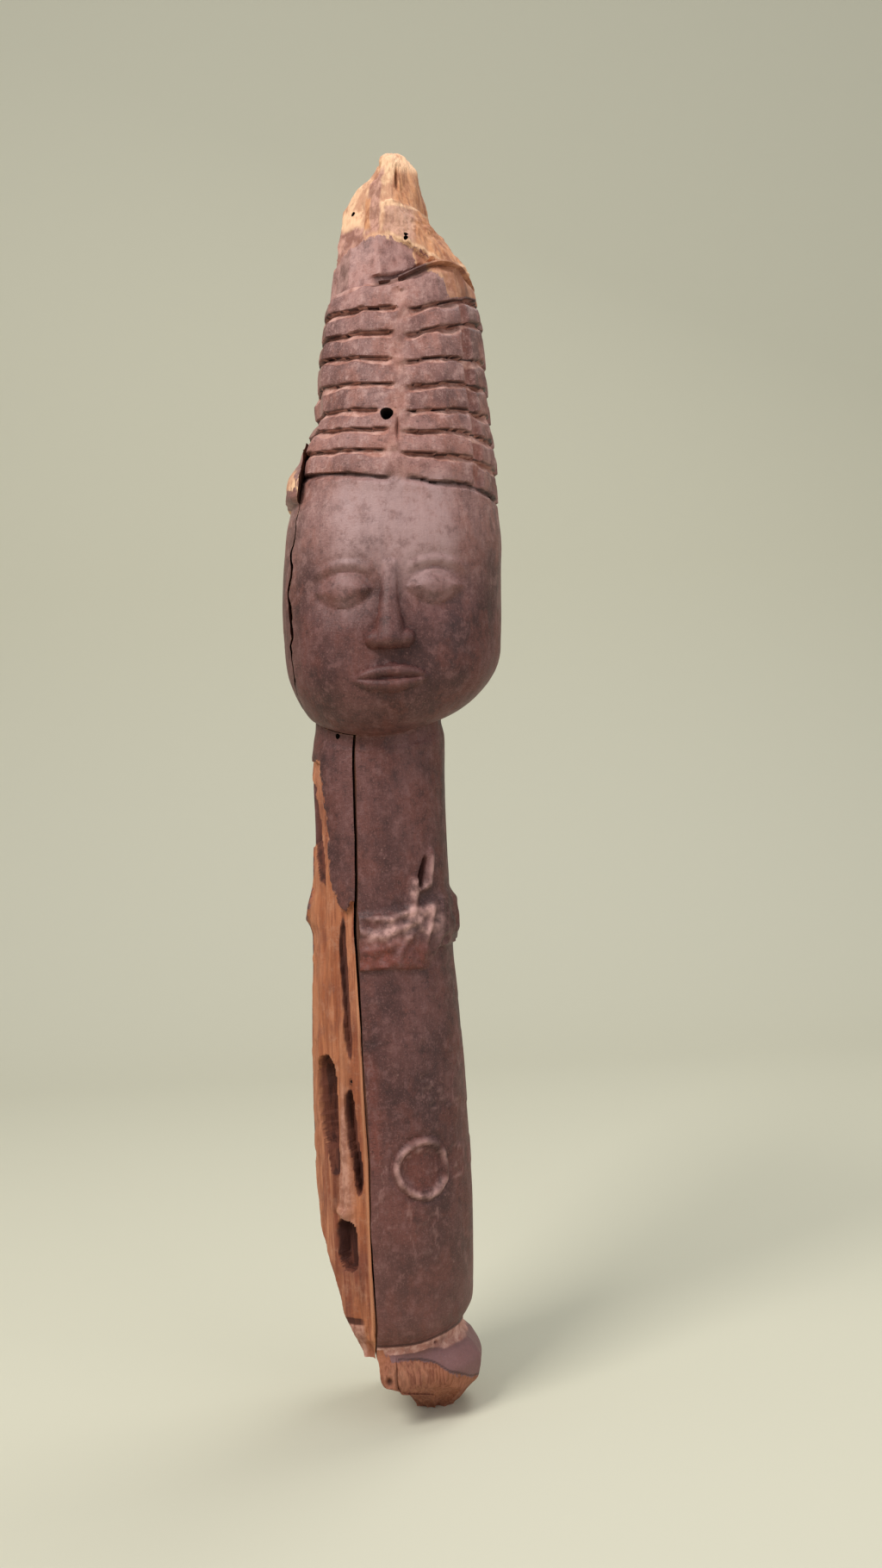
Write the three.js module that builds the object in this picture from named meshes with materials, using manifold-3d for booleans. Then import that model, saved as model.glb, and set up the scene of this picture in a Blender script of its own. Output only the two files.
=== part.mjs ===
import * as THREE from 'three';
import { mergeVertices } from 'three/addons/utils/BufferGeometryUtils.js';
import Module from 'manifold-3d';

// A dance wand carved from one log: a foot, a round shaft with a collar, a head and a tall hair crest whose top has
// broken off. The dry log has split along its grain, so it is now three pieces of wood: the carved log, the stave
// that the long split frees from the shaft, and the splinter that a second split frees from the side of the head.
// Millimetres, +Z up along the wand, +X to the right of someone who looks at the face, the face towards -Y.
// The origin is the middle of the flat of the foot.

const wasm = await Module();
wasm.setup();

// Driving sizes of the wand
const footHeight = 25;
const shaftLength = 188;
const faceHeight = 76;
const hairHeight = 109;
const footWidth = 54.4;
const shaftWidth = 50;
const headWidth = 69.5;
const headDepth = 71;
const hairWidth = 64;
const leanWidth = 10;

// Sizes of the carving on the shaft
const shoulderRise = 1.8;
const shoulderSlantRise = 2.4;
const collarRise = 1.7;
const collarHeight = 19;
const collarBottom = 116;
const collarEdge = 1.6;
const collarSideRise = 6;
const knobRise = 2.4;
const knobHeight = 129.5;
const knobReach = 10.5;
const ridgeRise = 1.5;
const ridgeWidth = 5;
const ridgeLength = 6;
const ringRadius = 8.5;
const ringThickness = 2.6;
const ringRise = 1.2;
const ringHeight = 56;

// Sizes of the head
const chinDrop = 12;
const jawRound = 18;
const neckFade = 22;
const eyeWidth = 15;
const eyeHeight = 8.5;
const eyeBulge = 3;
const lidThickness = 1.5;
const browHeight = 3;
const browRise = 0.9;
const socketDepth = 2.2;
const noseWidth = 14.5;
const noseRise = 6.5;
const nostrilRise = 3.8;
const lipWidth = 22;
const lipHeight = 4.4;
const lipRise = 3;
const cheekRise = 1.2;
const chinRise = 1.8;
const featureRoot = 2.5;

// Sizes of the hair crest
const grooveDepth = 2;
const ledgeHeight = 3;
const undercutHeight = 0.4;
const hairOverhang = 0.5;
const topTierRise = 4.8;
const middlePartingWidth = 2.6;
const middlePartingDepth = 0.4;
const partingWidth = 2;
const partingDepth = 1.2;
const partingSlope = 1.2;
const stepHeight = 2;

// Sizes of the splits and of the decay
const splitGap = 0.4;
const splitOpenWidth = 0.7;
const endClearance = 0.4;
const staveEndHeight = 22;
const decayDepth = 2.2;
const splinterGap = 0.4;
const cutOverrun = 8;
const largeHoleRadius = 1.95;
const largeHoleDepth = 9;
const smallHoleRadius = 0.9;
const smallHoleDepth = 4;

// Levels along the wand
const neckLevel = footHeight + shaftLength;
const jawLevel = neckLevel + chinDrop;
const hairLevel = neckLevel + faceHeight;
const topLevel = hairLevel + hairHeight;

// The log's sections, from the bottom up: the share of the zone's height, then half the width, the depth to the front
// and the depth to the back as shares of the zone's width, and the middle's place across as a share of the lean.
const footSectionShares = [
  [0, 0.12, 0.075, 0.17, 0],
  [0.085, 0.165, 0.13, 0.235, 0.04],
  [0.3, 0.24, 0.25, 0.345, -0.1],
  [0.52, 0.497, 0.41, 0.43, -1.14],
  [0.61, 0.503, 0.42, 0.44, -1.15],
  [0.77, 0.467, 0.4, 0.42, -1.15],
  [0.93, 0.405, 0.36, 0.38, -1.14],
];
const shaftSectionShares = [
  [0.005, 0.438, 0.41, 0.42, -1.13],
  [0.018, 0.462, 0.445, 0.45, -1.12],
  [0.05, 0.488, 0.47, 0.475, -1.1],
  [0.2, 0.5, 0.48, 0.485, -1],
  [0.35, 0.49, 0.472, 0.478, -0.94],
  [0.5, 0.474, 0.456, 0.46, -0.92],
  [0.64, 0.442, 0.428, 0.43, -0.89],
  [0.79, 0.424, 0.412, 0.414, -0.8],
  [0.93, 0.404, 0.394, 0.396, -0.66],
  [1, 0.4, 0.39, 0.392, -0.58],
];
const headSectionShares = [
  [0, 0.455, 0.445, 0.41, -0.05],
  [0.22, 0.488, 0.475, 0.45, 0],
  [0.5, 0.5, 0.485, 0.48, 0.06],
  [0.75, 0.493, 0.49, 0.488, 0.22],
  [0.94, 0.464, 0.472, 0.48, 0.38],
];
const hairSectionShares = [
  [0.02, 0.492, 0.525, 0.525, 0.44],
  [0.06, 0.492, 0.522, 0.525, 0.47],
  [0.193, 0.452, 0.485, 0.49, 0.6],
  [0.349, 0.43, 0.44, 0.45, 0.69],
  [0.523, 0.397, 0.4, 0.41, 0.79],
  [0.642, 0.354, 0.36, 0.37, 0.76],
  [0.706, 0.31, 0.33, 0.33, 0.66],
  [0.76, 0.251, 0.28, 0.28, 0.5],
  [0.83, 0.226, 0.23, 0.24, 0.48],
  [0.9, 0.205, 0.2, 0.21, 0.62],
  [0.96, 0.16, 0.15, 0.16, 0.78],
  [1, 0.1, 0.1, 0.1, 0.86],
];
const knobTurn = 1.3;
const ringTurn = 0.46;
const topTierTurn = 0.62;
const shaftSquareness = 2;
const headSquareness = 2.3;

// The levels between the tiers of the hair, as shares of its height, and how far each rises on the left and on the
// right: the share of the height, then two shares of the hair's width.
const tierShares = [0, 0.07, 0.13, 0.187, 0.263, 0.337, 0.414, 0.483, 0.573];
const tierRiseShares = [
  [0, 0.078, -0.047],
  [0.07, 0.066, -0.025],
  [0.13, 0.069, 0.006],
  [0.187, 0.059, 0.031],
  [0.263, 0.041, 0.037],
  [0.337, 0.053, 0.047],
  [0.414, 0.025, 0.109],
  [0.483, 0.028, 0.109],
  [0.573, -0.039, 0.031],
  [0.7, -0.016, 0.047],
  [0.85, 0, 0],
];
// Turns round the hair at which the knife has left an edge, and at which it has cut an upright parting
const hairEdgeTurns = [-155, -112, -70, -48, -24, 27, 66, 108, 155];
const partingTurns = [-130, -95, 49, 84, 130, 180];
const middleParting = 1;

// The flat cuts of the crest: the way each faces in degrees, the share of the hair's height at which it lies so far
// out from the crest's middle, that distance as a share of the hair's width, and its slope as a share of both.
const crestMiddleShare = 0.7;
const blockCutShares = [
  [-26, 0.569, 0.323, -0.255],
  [23, 0.569, 0.284, -0.341],
  [62, 0.569, 0.388, -0.85],
  [-64, 0.569, 0.311, -0.255],
  [90, 0.578, 0.384, -0.818],
  [135, 0.578, 0.368, -0.681],
  [180, 0.578, 0.328, -0.596],
  [-145, 0.578, 0.36, -0.511],
];
const stepCutShares = [
  [-42, 0.706, 0.231, -0.608],
  [8, 0.706, 0.241, -0.426],
  [40, 0.706, 0.247, -0.766],
  [70, 0.706, 0.275, -1.192],
  [90, 0.688, 0.297, -1.158],
  [-90, 0.743, 0.256, -0.273],
  [-90, 0.835, 0.233, -1.277],
  [172, 0.706, 0.175, -0.494],
  [128, 0.706, 0.211, -0.647],
  [-140, 0.706, 0.281, -0.647],
];
const spireCutShares = [
  [-42, 0.963, 0.078, -0.608],
  [10, 0.963, 0.081, -0.562],
  [35, 0.927, 0.097, -0.511],
  [58, 0.927, 0.12, -0.238],
  [90, 0.835, 0.181, -0.034],
  [80, 0.927, 0.141, -0.937],
  [-90, 0.743, 0.256, -0.273],
  [-90, 0.835, 0.233, -1.277],
  [172, 0.706, 0.175, -0.494],
  [128, 0.807, 0.145, -0.426],
  [-140, 0.706, 0.281, -0.647],
];
// How high the unbroken block reaches for each turn in degrees, and the step above it, as shares of the hair's height
const blockTopShares = [
  [-180, 0.642],
  [-95, 0.661],
  [-50, 0.688],
  [-8, 0.709],
  [41, 0.636],
  [60, 0.619],
  [95, 0.624],
  [180, 0.642],
];
const stepTopShare = 0.81;
// The flat face that a broken-off slab has left on the left of the hair, between two levels
const flatShares = [0.263, 0.84];
const flatDepthShare = 0.93;

// The left edge that the decay leaves low on the shaft: the share of the shaft's length, and how far left of the
// log's foot it lies as a share of the shaft's width.
const brokenEdgeShares = [
  [-0.03, 0.145],
  [0.01, 0.2],
  [0.06, 0.275],
  [0.12, 0.345],
  [0.2, 0.42],
  [0.28, 0.44],
  [0.4, 0.48],
  [0.55, 0.6],
];
const brokenEdgeMiddle = -leanWidth * 1.14;
// The left edge of the foot below the stave, in the same way, by the share of the foot's height
const footEdgeShares = [
  [0, -0.116],
  [0.12, -0.09],
  [0.32, -0.056],
  [0.5, -0.028],
  [0.56, 0.06],
  [0.64, 0.082],
  [1, 0.086],
];

// The long split's line on the front: the share of the shaft's length, and how far left of the origin it lies as a
// share of the shaft's width. The split runs back from there, leaning left.
const splitLineShares = [
  [-0.2, 0.305],
  [0.1, 0.305],
  [0.35, 0.294],
  [0.52, 0.29],
  [0.62, 0.282],
  [0.73, 0.262],
  [0.87, 0.243],
  [1.1, 0.215],
];
const splitSlant = 0.22;

// The split beside the face, at the log's middle depth: the share of the way from the neck to the hair, and how far
// left of the origin it lies as a share of the head's width.
const splinterLineShares = [
  [0, 0.395],
  [0.24, 0.413],
  [0.42, 0.41],
  [0.63, 0.403],
  [0.87, 0.383],
  [1, 0.366],
];
const splinterSlant = 0.08;

// Where the painted skin ends on the stave: the share of the shaft's length for each turn round the log.
const skinEdgeShares = [
  [-1.9, 0.6],
  [-1.2, 0.93],
  [-0.95, 0.92],
  [-0.8, 0.78],
  [-0.5, 0.705],
  [-0.2, 0.74],
];

// Hollows that insects and rot have left in the stave: the share of the shaft's length, the place across, and the
// half width and the depth as shares of the shaft's width, and half the height as a share of its length.
const hollowShares = [
  [0.86, -0.475, 0.03, 0.12, 0.08],
  [0.58, -0.392, 0.024, 0.05, 0.138],
  [0.345, -0.52, 0.058, 0.13, 0.133],
  [0.32, -0.42, 0.03, 0.06, 0.101],
  [0.165, -0.49, 0.056, 0.12, 0.048],
];
const hollowSegments = 9;

// Holes: the level as a share of the hair's height or, on the stave, of the shaft's, and the turn round the log
const largeHoleShares = [[0.177, -0.114]];
const smallHoleShares = [[0.817, -0.84], [0.61, -1], [0.708, 0.19]];
const staveHoleShares = [[1.045, -0.65]];
const holeSides = 10;

const footColumns = 33;
const headColumns = 46;
const crestColumns = 44;
const headCrowding = 0.3;
const crestCrowding = 0.2;

const { clamp, lerp, smoothstep } = THREE.MathUtils;

// A smooth bell, 1 in the middle and 0 from reach on
function bell(distance, reach) {
  const q = Math.min(1, Math.abs(distance) / reach);
  return (1 - q * q) ** 2;
}

// 1 between two places, with soft edges
function plateau(place, low, high, edge) {
  return smoothstep(place, low - edge, low) * (1 - smoothstep(place, high, high + edge));
}

// A curve through stations [place, value, value...] that never overshoots them
function curveThrough(stations) {
  const last = stations.length - 1;
  const rise = (i, k) => (stations[i + 1][k] - stations[i][k]) / (stations[i + 1][0] - stations[i][0]);
  const slope = (i, k) => {
    if (i === 0 || i === last) return 0;
    const before = rise(i - 1, k);
    const after = rise(i, k);
    return before * after > 0 ? (2 * before * after) / (before + after) : 0;
  };
  return (place, k = 1) => {
    const at = clamp(place, stations[0][0], stations[last][0]);
    let i = 0;
    while (i < last - 1 && at > stations[i + 1][0]) i += 1;
    const span = stations[i + 1][0] - stations[i][0];
    const t = (at - stations[i][0]) / span;
    const from = stations[i][k] + (slope(i, k) * span * t * (1 - t) ** 2);
    const to = stations[i + 1][k] - (slope(i + 1, k) * span * (1 - t) * t ** 2);
    const mix = t * t * (3 - 2 * t);
    return from * (1 - mix) + to * mix + (from - stations[i][k]) * mix + (to - stations[i + 1][k]) * (1 - mix);
  };
}

// Stations in millimetres from a zone's shares
function zone(shares, bottom, height, width) {
  return shares.map(([at, half, front, back, middle]) => (
    [bottom + at * height, half * width, front * width, back * width, middle * leanWidth]
  ));
}

const lowerLog = curveThrough([
  ...zone(footSectionShares, 0, footHeight, footWidth),
  ...zone(shaftSectionShares, footHeight, shaftLength, shaftWidth),
]);
const headDepthShare = headDepth / headWidth;
const upperLog = curveThrough([
  ...zone(headSectionShares, jawLevel, hairLevel - jawLevel, headWidth).map(
    ([level, half, front, back, middle]) => [level, half, front * headDepthShare, back * headDepthShare, middle],
  ),
  ...zone(hairSectionShares, hairLevel, hairHeight, hairWidth),
]);
const tierRise = curveThrough(tierRiseShares);
const blockTop = curveThrough(blockTopShares);
const brokenEdge = curveThrough(brokenEdgeShares);
const footEdge = curveThrough(footEdgeShares);
const splitLine = curveThrough(splitLineShares);
const splinterLine = curveThrough(splinterLineShares);
const skinEdgeAt = curveThrough(skinEdgeShares);
const tierLevels = tierShares.map((share) => hairLevel + share * hairHeight);
const topOfTiers = tierLevels[tierLevels.length - 1];

// The log's section at a level: its middle, half width, depths and squareness
function sectionAt(level) {
  const read = (log) => [1, 2, 3, 4].map((k) => log(level, k));
  const underHead = clamp((level - jawLevel) / jawRound, 0, 1);
  const grown = Math.sqrt(1 - (1 - underHead) ** 2);
  const low = level < jawLevel + jawRound ? read(lowerLog) : null;
  const high = level > jawLevel ? read(upperLog) : low;
  const [half, front, back, middle] = high.map((value, k) => (low ? lerp(low[k], value, grown) : value));
  return { half, front, back, middle, squareness: lerp(shaftSquareness, headSquareness, grown) };
}

// How far below its level a point of the log lies, or above it: the chin hangs lower than the nape, and the tiers of
// the hair slope and rise.
function shiftUp(level, turn, side) {
  const toFront = ((1 + Math.cos(turn)) / 2) ** 1.5;
  const overNeck = smoothstep(level, jawLevel - neckFade, jawLevel);
  const underHair = 1 - smoothstep(level, jawLevel, hairLevel);
  const drop = chinDrop * toFront * overNeck * underHair;
  const share = clamp((level - hairLevel) / hairHeight, 0, 1);
  const inHair = smoothstep(level, jawLevel + jawRound, hairLevel);
  const toBack = smoothstep(Math.abs(turn), Math.PI * 0.44, Math.PI * 0.83);
  const left = tierRise(share, 1) * clamp(-side, 0, 2) ** 1.3;
  const right = tierRise(share, 2) * clamp(side, 0, 2) ** 1.8;
  const rise = (left + right) * hairWidth * inHair * (1 - 0.7 * toBack);
  const slant = shoulderRise + shoulderSlantRise * smoothstep(Math.sin(turn), 0.3, 0.8);
  const inTopTier = smoothstep(share, 0.483, 0.573) * (1 - smoothstep(share, 0.6, 0.78));
  const swell = topTierRise * bell(turn - topTierTurn, 0.75) * inTopTier;
  return rise + swell - drop + slant * bell(level - footHeight, footHeight * 0.68);
}

// The collar with its knob on the right, and the finger-like ridge that climbs from it
function shaftRelief(level, turn) {
  const low = footHeight + collarBottom + collarSideRise * smoothstep(turn, 0.75, 1.25);
  const high = footHeight + collarBottom + collarHeight + collarSideRise / 2 * smoothstep(turn, 0.6, 1.1);
  const knob = knobRise * bell(turn - knobTurn, 0.6) * bell(level - footHeight - knobHeight, knobReach);
  const collar = plateau(level, low, high, collarEdge) * collarRise * (1 + 0.14 * Math.sin(5 * turn));
  const ridgeTurn = (turn - 0.52) * shaftWidth / 2;
  const ridge = ridgeRise * bell(ridgeTurn, ridgeWidth) * plateau(level, high, high + ridgeLength, collarEdge);
  return collar + knob + ridge;
}

// The face keeps even proportions: three equal heights from hair to chin, five eye widths across
const third = faceHeight / 3;
const browLevel = hairLevel - third;
const noseLevel = browLevel - third;
const mouthLevel = noseLevel - third * 0.36;
const eyeLevel = browLevel - third * 0.3;
const eyeOffset = headWidth / 5;

// The soft shapes of the face that the eyes, nose and lips sit on
function faceRelief(across, level, turn) {
  const side = Math.abs(across) - eyeOffset;
  const socket = socketDepth * bell(Math.hypot(side / eyeWidth, (level - eyeLevel) / (eyeHeight * 1.5)), 1);
  const cheek = cheekRise * bell(side - eyeWidth * 0.15, eyeWidth) * bell(level - noseLevel, third);
  const chin = chinRise * bell(level - neckLevel - third * 0.3, third * 0.45) * bell(across, lipWidth * 0.8);
  return smoothstep(Math.cos(turn), 0.15, 0.5) * (cheek + chin - socket);
}

// How far round the hair a turn is from a parting, in length
function fromParting(turn, degrees) {
  const apart = Math.abs(turn - THREE.MathUtils.degToRad(degrees));
  return Math.min(apart, 2 * Math.PI - apart) * hairWidth / 2;
}

// The stepped tiers of the hair and its upright partings
function hairRelief(level, turn) {
  const tier = tierLevels.findIndex((low, i) => level >= low && level < tierLevels[i + 1]);
  if (tier < 0) return 0;
  const fromBottom = level - tierLevels[tier];
  const fromTop = tierLevels[tier + 1] - level;
  const tooth = Math.min(fromBottom / undercutHeight, fromTop / ledgeHeight, 1);
  const height = tierLevels[tier + 1] - tierLevels[tier];
  const overhang = tier === 0 ? hairOverhang * (1 - fromBottom / height) : 0;
  const beside = fromParting(turn, middleParting) - middlePartingWidth / 2;
  const inTier = smoothstep(beside, 0, middlePartingWidth);
  const face = overhang - grooveDepth * (1 - tooth) * inTier - middlePartingDepth * (1 - inTier);
  const parted = partingTurns.some((at) => fromParting(turn, at) < partingWidth * 0.6);
  return parted ? Math.min(face, -partingDepth) : face;
}

// How far out the nearest of some flat cuts of the crest lets the surface lie
function cutReach(cutShares, height, turn, middle) {
  const share = (height - hairLevel) / hairHeight;
  const aside = middle - crestMiddleShare * leanWidth;
  return Math.min(...cutShares.map(([degrees, at, reach, slope]) => {
    const facing = THREE.MathUtils.degToRad(degrees);
    const away = Math.cos(turn - facing);
    const out = (reach + slope * (share - at)) * hairWidth - aside * Math.sin(facing);
    return away > 0.05 ? Math.max(out, 0) / away : Infinity;
  }));
}

// The crest above the tiers: a faceted block, and the broken step and spire that rise from it
function crestReach(height, turn, middle) {
  const overBlock = height - hairLevel - blockTop(THREE.MathUtils.radToDeg(turn)) * hairHeight;
  const overStep = height - hairLevel - stepTopShare * hairHeight;
  const [block, step, spire] = [blockCutShares, stepCutShares, spireCutShares].map(
    (cutShares) => cutReach(cutShares, height, turn, middle),
  );
  const broken = Math.max(spire, lerp(step, spire, smoothstep(overStep, 0, stepHeight)));
  return lerp(block, broken, smoothstep(overBlock, -stepHeight / 2, stepHeight / 2));
}

// Where the decay has eaten the stave: 1 in the bare wood of its front, 0 under its painted skin
function decayed(level, turn) {
  const share = (level - footHeight) / shaftLength;
  return smoothstep(turn, -1.75, -1.5) * smoothstep(skinEdgeAt(turn) - share, 0, 0.02);
}

// A point of the log's surface, or of one that lies further out by the growth
function surfacePoint(level, turn, grow = 0, isStave = false) {
  const { half, front, back, middle, squareness } = sectionAt(level);
  const across = Math.sin(turn);
  const ahead = Math.cos(turn);
  const depth = ahead > 0 ? front : back;
  const reach = (Math.abs(across / half) ** squareness + Math.abs(ahead / depth) ** squareness) ** (-1 / squareness);
  const height = level + shiftUp(level, turn, reach * across / half);
  const eaten = isStave ? decayed(level, turn) : 0;
  let relief = grow - decayDepth * eaten;
  if (level < jawLevel) relief += shaftRelief(level, turn) * (1 - eaten);
  if (level >= jawLevel && level < hairLevel) relief += faceRelief(reach * across, height, turn);
  if (level >= hairLevel) relief += hairRelief(level, turn);
  let radius = reach + relief;
  const worn = smoothstep(turn, 0.5, 0.9) * (1 - smoothstep(turn, 1.8, 2.2));
  if (level === topOfTiers) radius -= grooveDepth * (1 - worn);
  if (level > topOfTiers) radius = Math.min(radius, Math.max(crestReach(height, turn, middle), reach * 0.1));
  const inFoot = !isStave && level < staveEndHeight;
  const edge = inFoot ? footEdge(height / footHeight) : brokenEdge((level - footHeight) / shaftLength);
  const leftLimit = brokenEdgeMiddle - edge * shaftWidth - grow;
  const flatLow = hairLevel + flatShares[0] * hairHeight;
  const flatHigh = hairLevel + flatShares[1] * hairHeight;
  let limit = -Infinity;
  if (level < footHeight + shaftLength / 2) limit = leftLimit;
  if (level > flatLow && level < flatHigh) limit = middle - flatDepthShare * half;
  return new THREE.Vector3(Math.max(middle + radius * across, limit), -radius * ahead, height);
}

// Turns from the back round the left, the front and the right, crowded towards the front
function evenTurns(columns, crowding) {
  return Array.from({ length: columns }, (_, i) => {
    const u = i / columns - 0.5;
    return 2 * Math.PI * u - crowding * Math.sin(2 * Math.PI * u);
  });
}

// The turns at which the hair has an edge: those of the knife cuts, and both sides of each parting
function hairTurns() {
  const around = (degrees, offsets) => offsets.map((offset) => (
    THREE.MathUtils.degToRad(degrees) + offset / (hairWidth / 2)
  ));
  const inner = partingWidth / 2;
  const outer = inner + partingSlope;
  const middleInner = middlePartingWidth / 2;
  const turns = [
    ...hairEdgeTurns.flatMap((degrees) => around(degrees, [0])),
    ...partingTurns.flatMap((degrees) => around(degrees, [-outer, -inner, inner, outer])),
    ...around(middleParting, [-middlePartingWidth * 1.5, -middleInner, middleInner, middlePartingWidth * 1.5]),
  ];
  return turns.map((turn) => (turn > Math.PI ? turn - 2 * Math.PI : turn)).sort((a, b) => a - b);
}

// One ring of points round the log, which remembers how far round each of them lies
function ring(level, turns, grow, isStave) {
  const points = turns.map((turn) => surfacePoint(level, turn, grow, isStave));
  points.shares = turns.map((turn) => turn / (2 * Math.PI) + 0.5);
  return points;
}

// A point of the front of the face, out by the rise
function facePoint(across, height, rise) {
  let level = height;
  let turn = 0;
  for (let i = 0; i < 8; i += 1) {
    const { half, front, middle, squareness } = sectionAt(level);
    const aside = clamp((across - middle) / half, -0.95, 0.95);
    const ahead = front * (1 - Math.abs(aside) ** squareness) ** (1 / squareness);
    turn = Math.atan2(across - middle, ahead);
    level = height - shiftUp(level, turn, (across - middle) / half);
  }
  return surfacePoint(level, turn, rise);
}

// A closed geometry through rings that may differ in their number of points
function loft(rings) {
  const positions = [];
  const index = [];
  const starts = rings.map((points) => {
    const start = positions.length / 3;
    points.forEach((p) => positions.push(p.x, p.y, p.z));
    return start;
  });
  rings.slice(1).forEach((above, r) => {
    const below = rings[r];
    const shareOf = (points, k) => {
      if (!points.shares) return k / points.length;
      return points.shares[k % points.length] + Math.floor(k / points.length);
    };
    let i = 0;
    let j = 0;
    while (i < below.length || j < above.length) {
      const lowNow = starts[r] + (i % below.length);
      const highNow = starts[r + 1] + (j % above.length);
      const lowIsNext = shareOf(below, i + 1) <= shareOf(above, j + 1);
      if (j === above.length || (i < below.length && lowIsNext)) {
        index.push(lowNow, starts[r] + ((i + 1) % below.length), highNow);
        i += 1;
      } else {
        index.push(lowNow, starts[r + 1] + ((j + 1) % above.length), highNow);
        j += 1;
      }
    }
  });
  const cap = (points, start, up) => {
    const middle = points.reduce((sum, p) => sum.add(p), new THREE.Vector3()).divideScalar(points.length);
    const hub = positions.length / 3;
    positions.push(middle.x, middle.y, middle.z);
    points.forEach((_, i) => {
      const next = start + ((i + 1) % points.length);
      index.push(hub, up ? start + i : next, up ? next : start + i);
    });
  };
  cap(rings[0], starts[0], false);
  cap(rings[rings.length - 1], starts[rings.length - 1], true);
  const geometry = new THREE.BufferGeometry();
  geometry.setAttribute('position', new THREE.Float32BufferAttribute(positions, 3));
  geometry.setIndex(index);
  return geometry;
}

// A solid to join and cut, from a closed geometry whose triangles may all face in
function solidOf(geometry) {
  const bare = geometry.clone();
  bare.deleteAttribute('normal');
  bare.deleteAttribute('uv');
  const merged = mergeVertices(bare);
  const vertProperties = Float32Array.from(merged.attributes.position.array);
  const triVerts = Uint32Array.from(merged.index.array);
  const build = (corners) => (
    new wasm.Manifold(new wasm.Mesh({ numProp: 3, vertProperties, triVerts: corners }))
  );
  const solid = build(triVerts);
  return solid.volume() > 0 ? solid : build(triVerts.reverse());
}

function geometryOf(solid) {
  const { vertProperties, triVerts } = solid.getMesh();
  const geometry = new THREE.BufferGeometry();
  geometry.setAttribute('position', new THREE.BufferAttribute(vertProperties, 3));
  geometry.setIndex(new THREE.BufferAttribute(triVerts, 1));
  geometry.computeVertexNormals();
  return geometry;
}

// Evenly spread levels between two, the first left out
function levelsBetween(from, to, count) {
  return Array.from({ length: count }, (_, i) => lerp(from, to, (i + 1) / count));
}

const collarLow = footHeight + collarBottom;
const collarHigh = collarLow + collarHeight;
const shaftLevels = [
  footHeight,
  ...[0.018, 0.05].map((share) => footHeight + share * shaftLength),
  ...levelsBetween(footHeight + 0.05 * shaftLength, collarLow - collarEdge, 13),
  collarLow,
  ...levelsBetween(collarLow, collarHigh, 4),
  collarHigh + collarEdge,
  collarHigh + ridgeLength,
  ...levelsBetween(collarHigh + ridgeLength, jawLevel, 7),
];
const footLevels = [0, 0.085, 0.3, 0.52, 0.61, 0.77, 0.93].map((share) => share * footHeight);
const jawSteps = 13;
const jawLevels = Array.from({ length: jawSteps }, (_, i) => (
  jawLevel + jawRound * ((i + 1) / jawSteps) ** 1.7
));
const faceLevels = levelsBetween(jawLevel + jawRound, hairLevel - undercutHeight, 19);
const tierRings = tierLevels.slice(1).flatMap((high, i) => [
  tierLevels[i],
  tierLevels[i] + undercutHeight,
  high - ledgeHeight,
]);
const crestLow = topOfTiers + undercutHeight;
const crestLevels = [crestLow, ...levelsBetween(crestLow, topLevel, 23)];

// The whole log as it was carved
function wholeLog() {
  const footTurns = evenTurns(footColumns, 0);
  const headTurns = evenTurns(headColumns, headCrowding);
  const crestTurns = evenTurns(crestColumns, crestCrowding);
  const tierTurns = hairTurns();
  return solidOf(loft([
    ...[...footLevels, ...shaftLevels].map((level) => ring(level, footTurns)),
    ...[...jawLevels, ...faceLevels].map((level) => ring(level, headTurns)),
    ...[...tierRings, topOfTiers].map((level) => ring(level, tierTurns)),
    ...crestLevels.map((level) => ring(level, crestTurns)),
  ]));
}

// The shaft alone, up to the underside of the head
function shaftSolid(bottom, lowerTop, grow, isStave) {
  const levels = [...footLevels, ...shaftLevels].filter((level) => level > bottom);
  const turns = evenTurns(footColumns, 0);
  const rings = [bottom, ...levels].map((level) => ring(level, turns, grow, isStave));
  const underHead = ring(jawLevel, turns);
  const end = grow > 0 ? [...rings, underHead] : [...rings.slice(0, -1), underHead];
  end[end.length - 1].forEach((point) => {
    point.z -= lowerTop;
  });
  return solidOf(loft(end));
}

// Everything left of the long split, which opens towards the middle of the shaft
function leftOfSplit(bottom, isStave) {
  const reach = shaftWidth;
  const top = jawLevel + cutOverrun;
  const levels = [bottom, ...shaftLevels.filter((level) => level > bottom), top];
  const sides = levels.map((level) => {
    const share = (level - footHeight) / shaftLength;
    const open = splitGap + splitOpenWidth * bell(share - 0.6, 0.3);
    const line = -splitLine(share) * shaftWidth - (isStave ? open : 0);
    const front = line + splitSlant * (reach - shaftWidth / 2);
    const back = line - splitSlant * (reach + shaftWidth / 2);
    return [
      new THREE.Vector3(-2 * reach, -reach, level),
      new THREE.Vector3(front, -reach, level),
      new THREE.Vector3(back, reach, level),
      new THREE.Vector3(-2 * reach, reach, level),
    ];
  });
  return solidOf(loft(sides));
}

// Everything of the head that lies left of the split beside the face, down to the neck
function leftOfFaceSplit(shift, endGap) {
  const reach = headWidth;
  const top = hairLevel - endGap;
  const steps = 8;
  const sides = [neckLevel, ...levelsBetween(neckLevel, top, steps)].map((level) => {
    const line = -splinterLine((level - neckLevel) / (hairLevel - neckLevel)) * headWidth - shift;
    return [
      new THREE.Vector3(-2 * reach, -reach, level),
      new THREE.Vector3(line - splinterSlant * reach, -reach, level),
      new THREE.Vector3(line + splinterSlant * reach, reach, level),
      new THREE.Vector3(-2 * reach, reach, level),
    ];
  });
  return solidOf(loft(sides)).subtract(shaftSolid(-cutOverrun, 0, cutOverrun, false));
}

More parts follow.
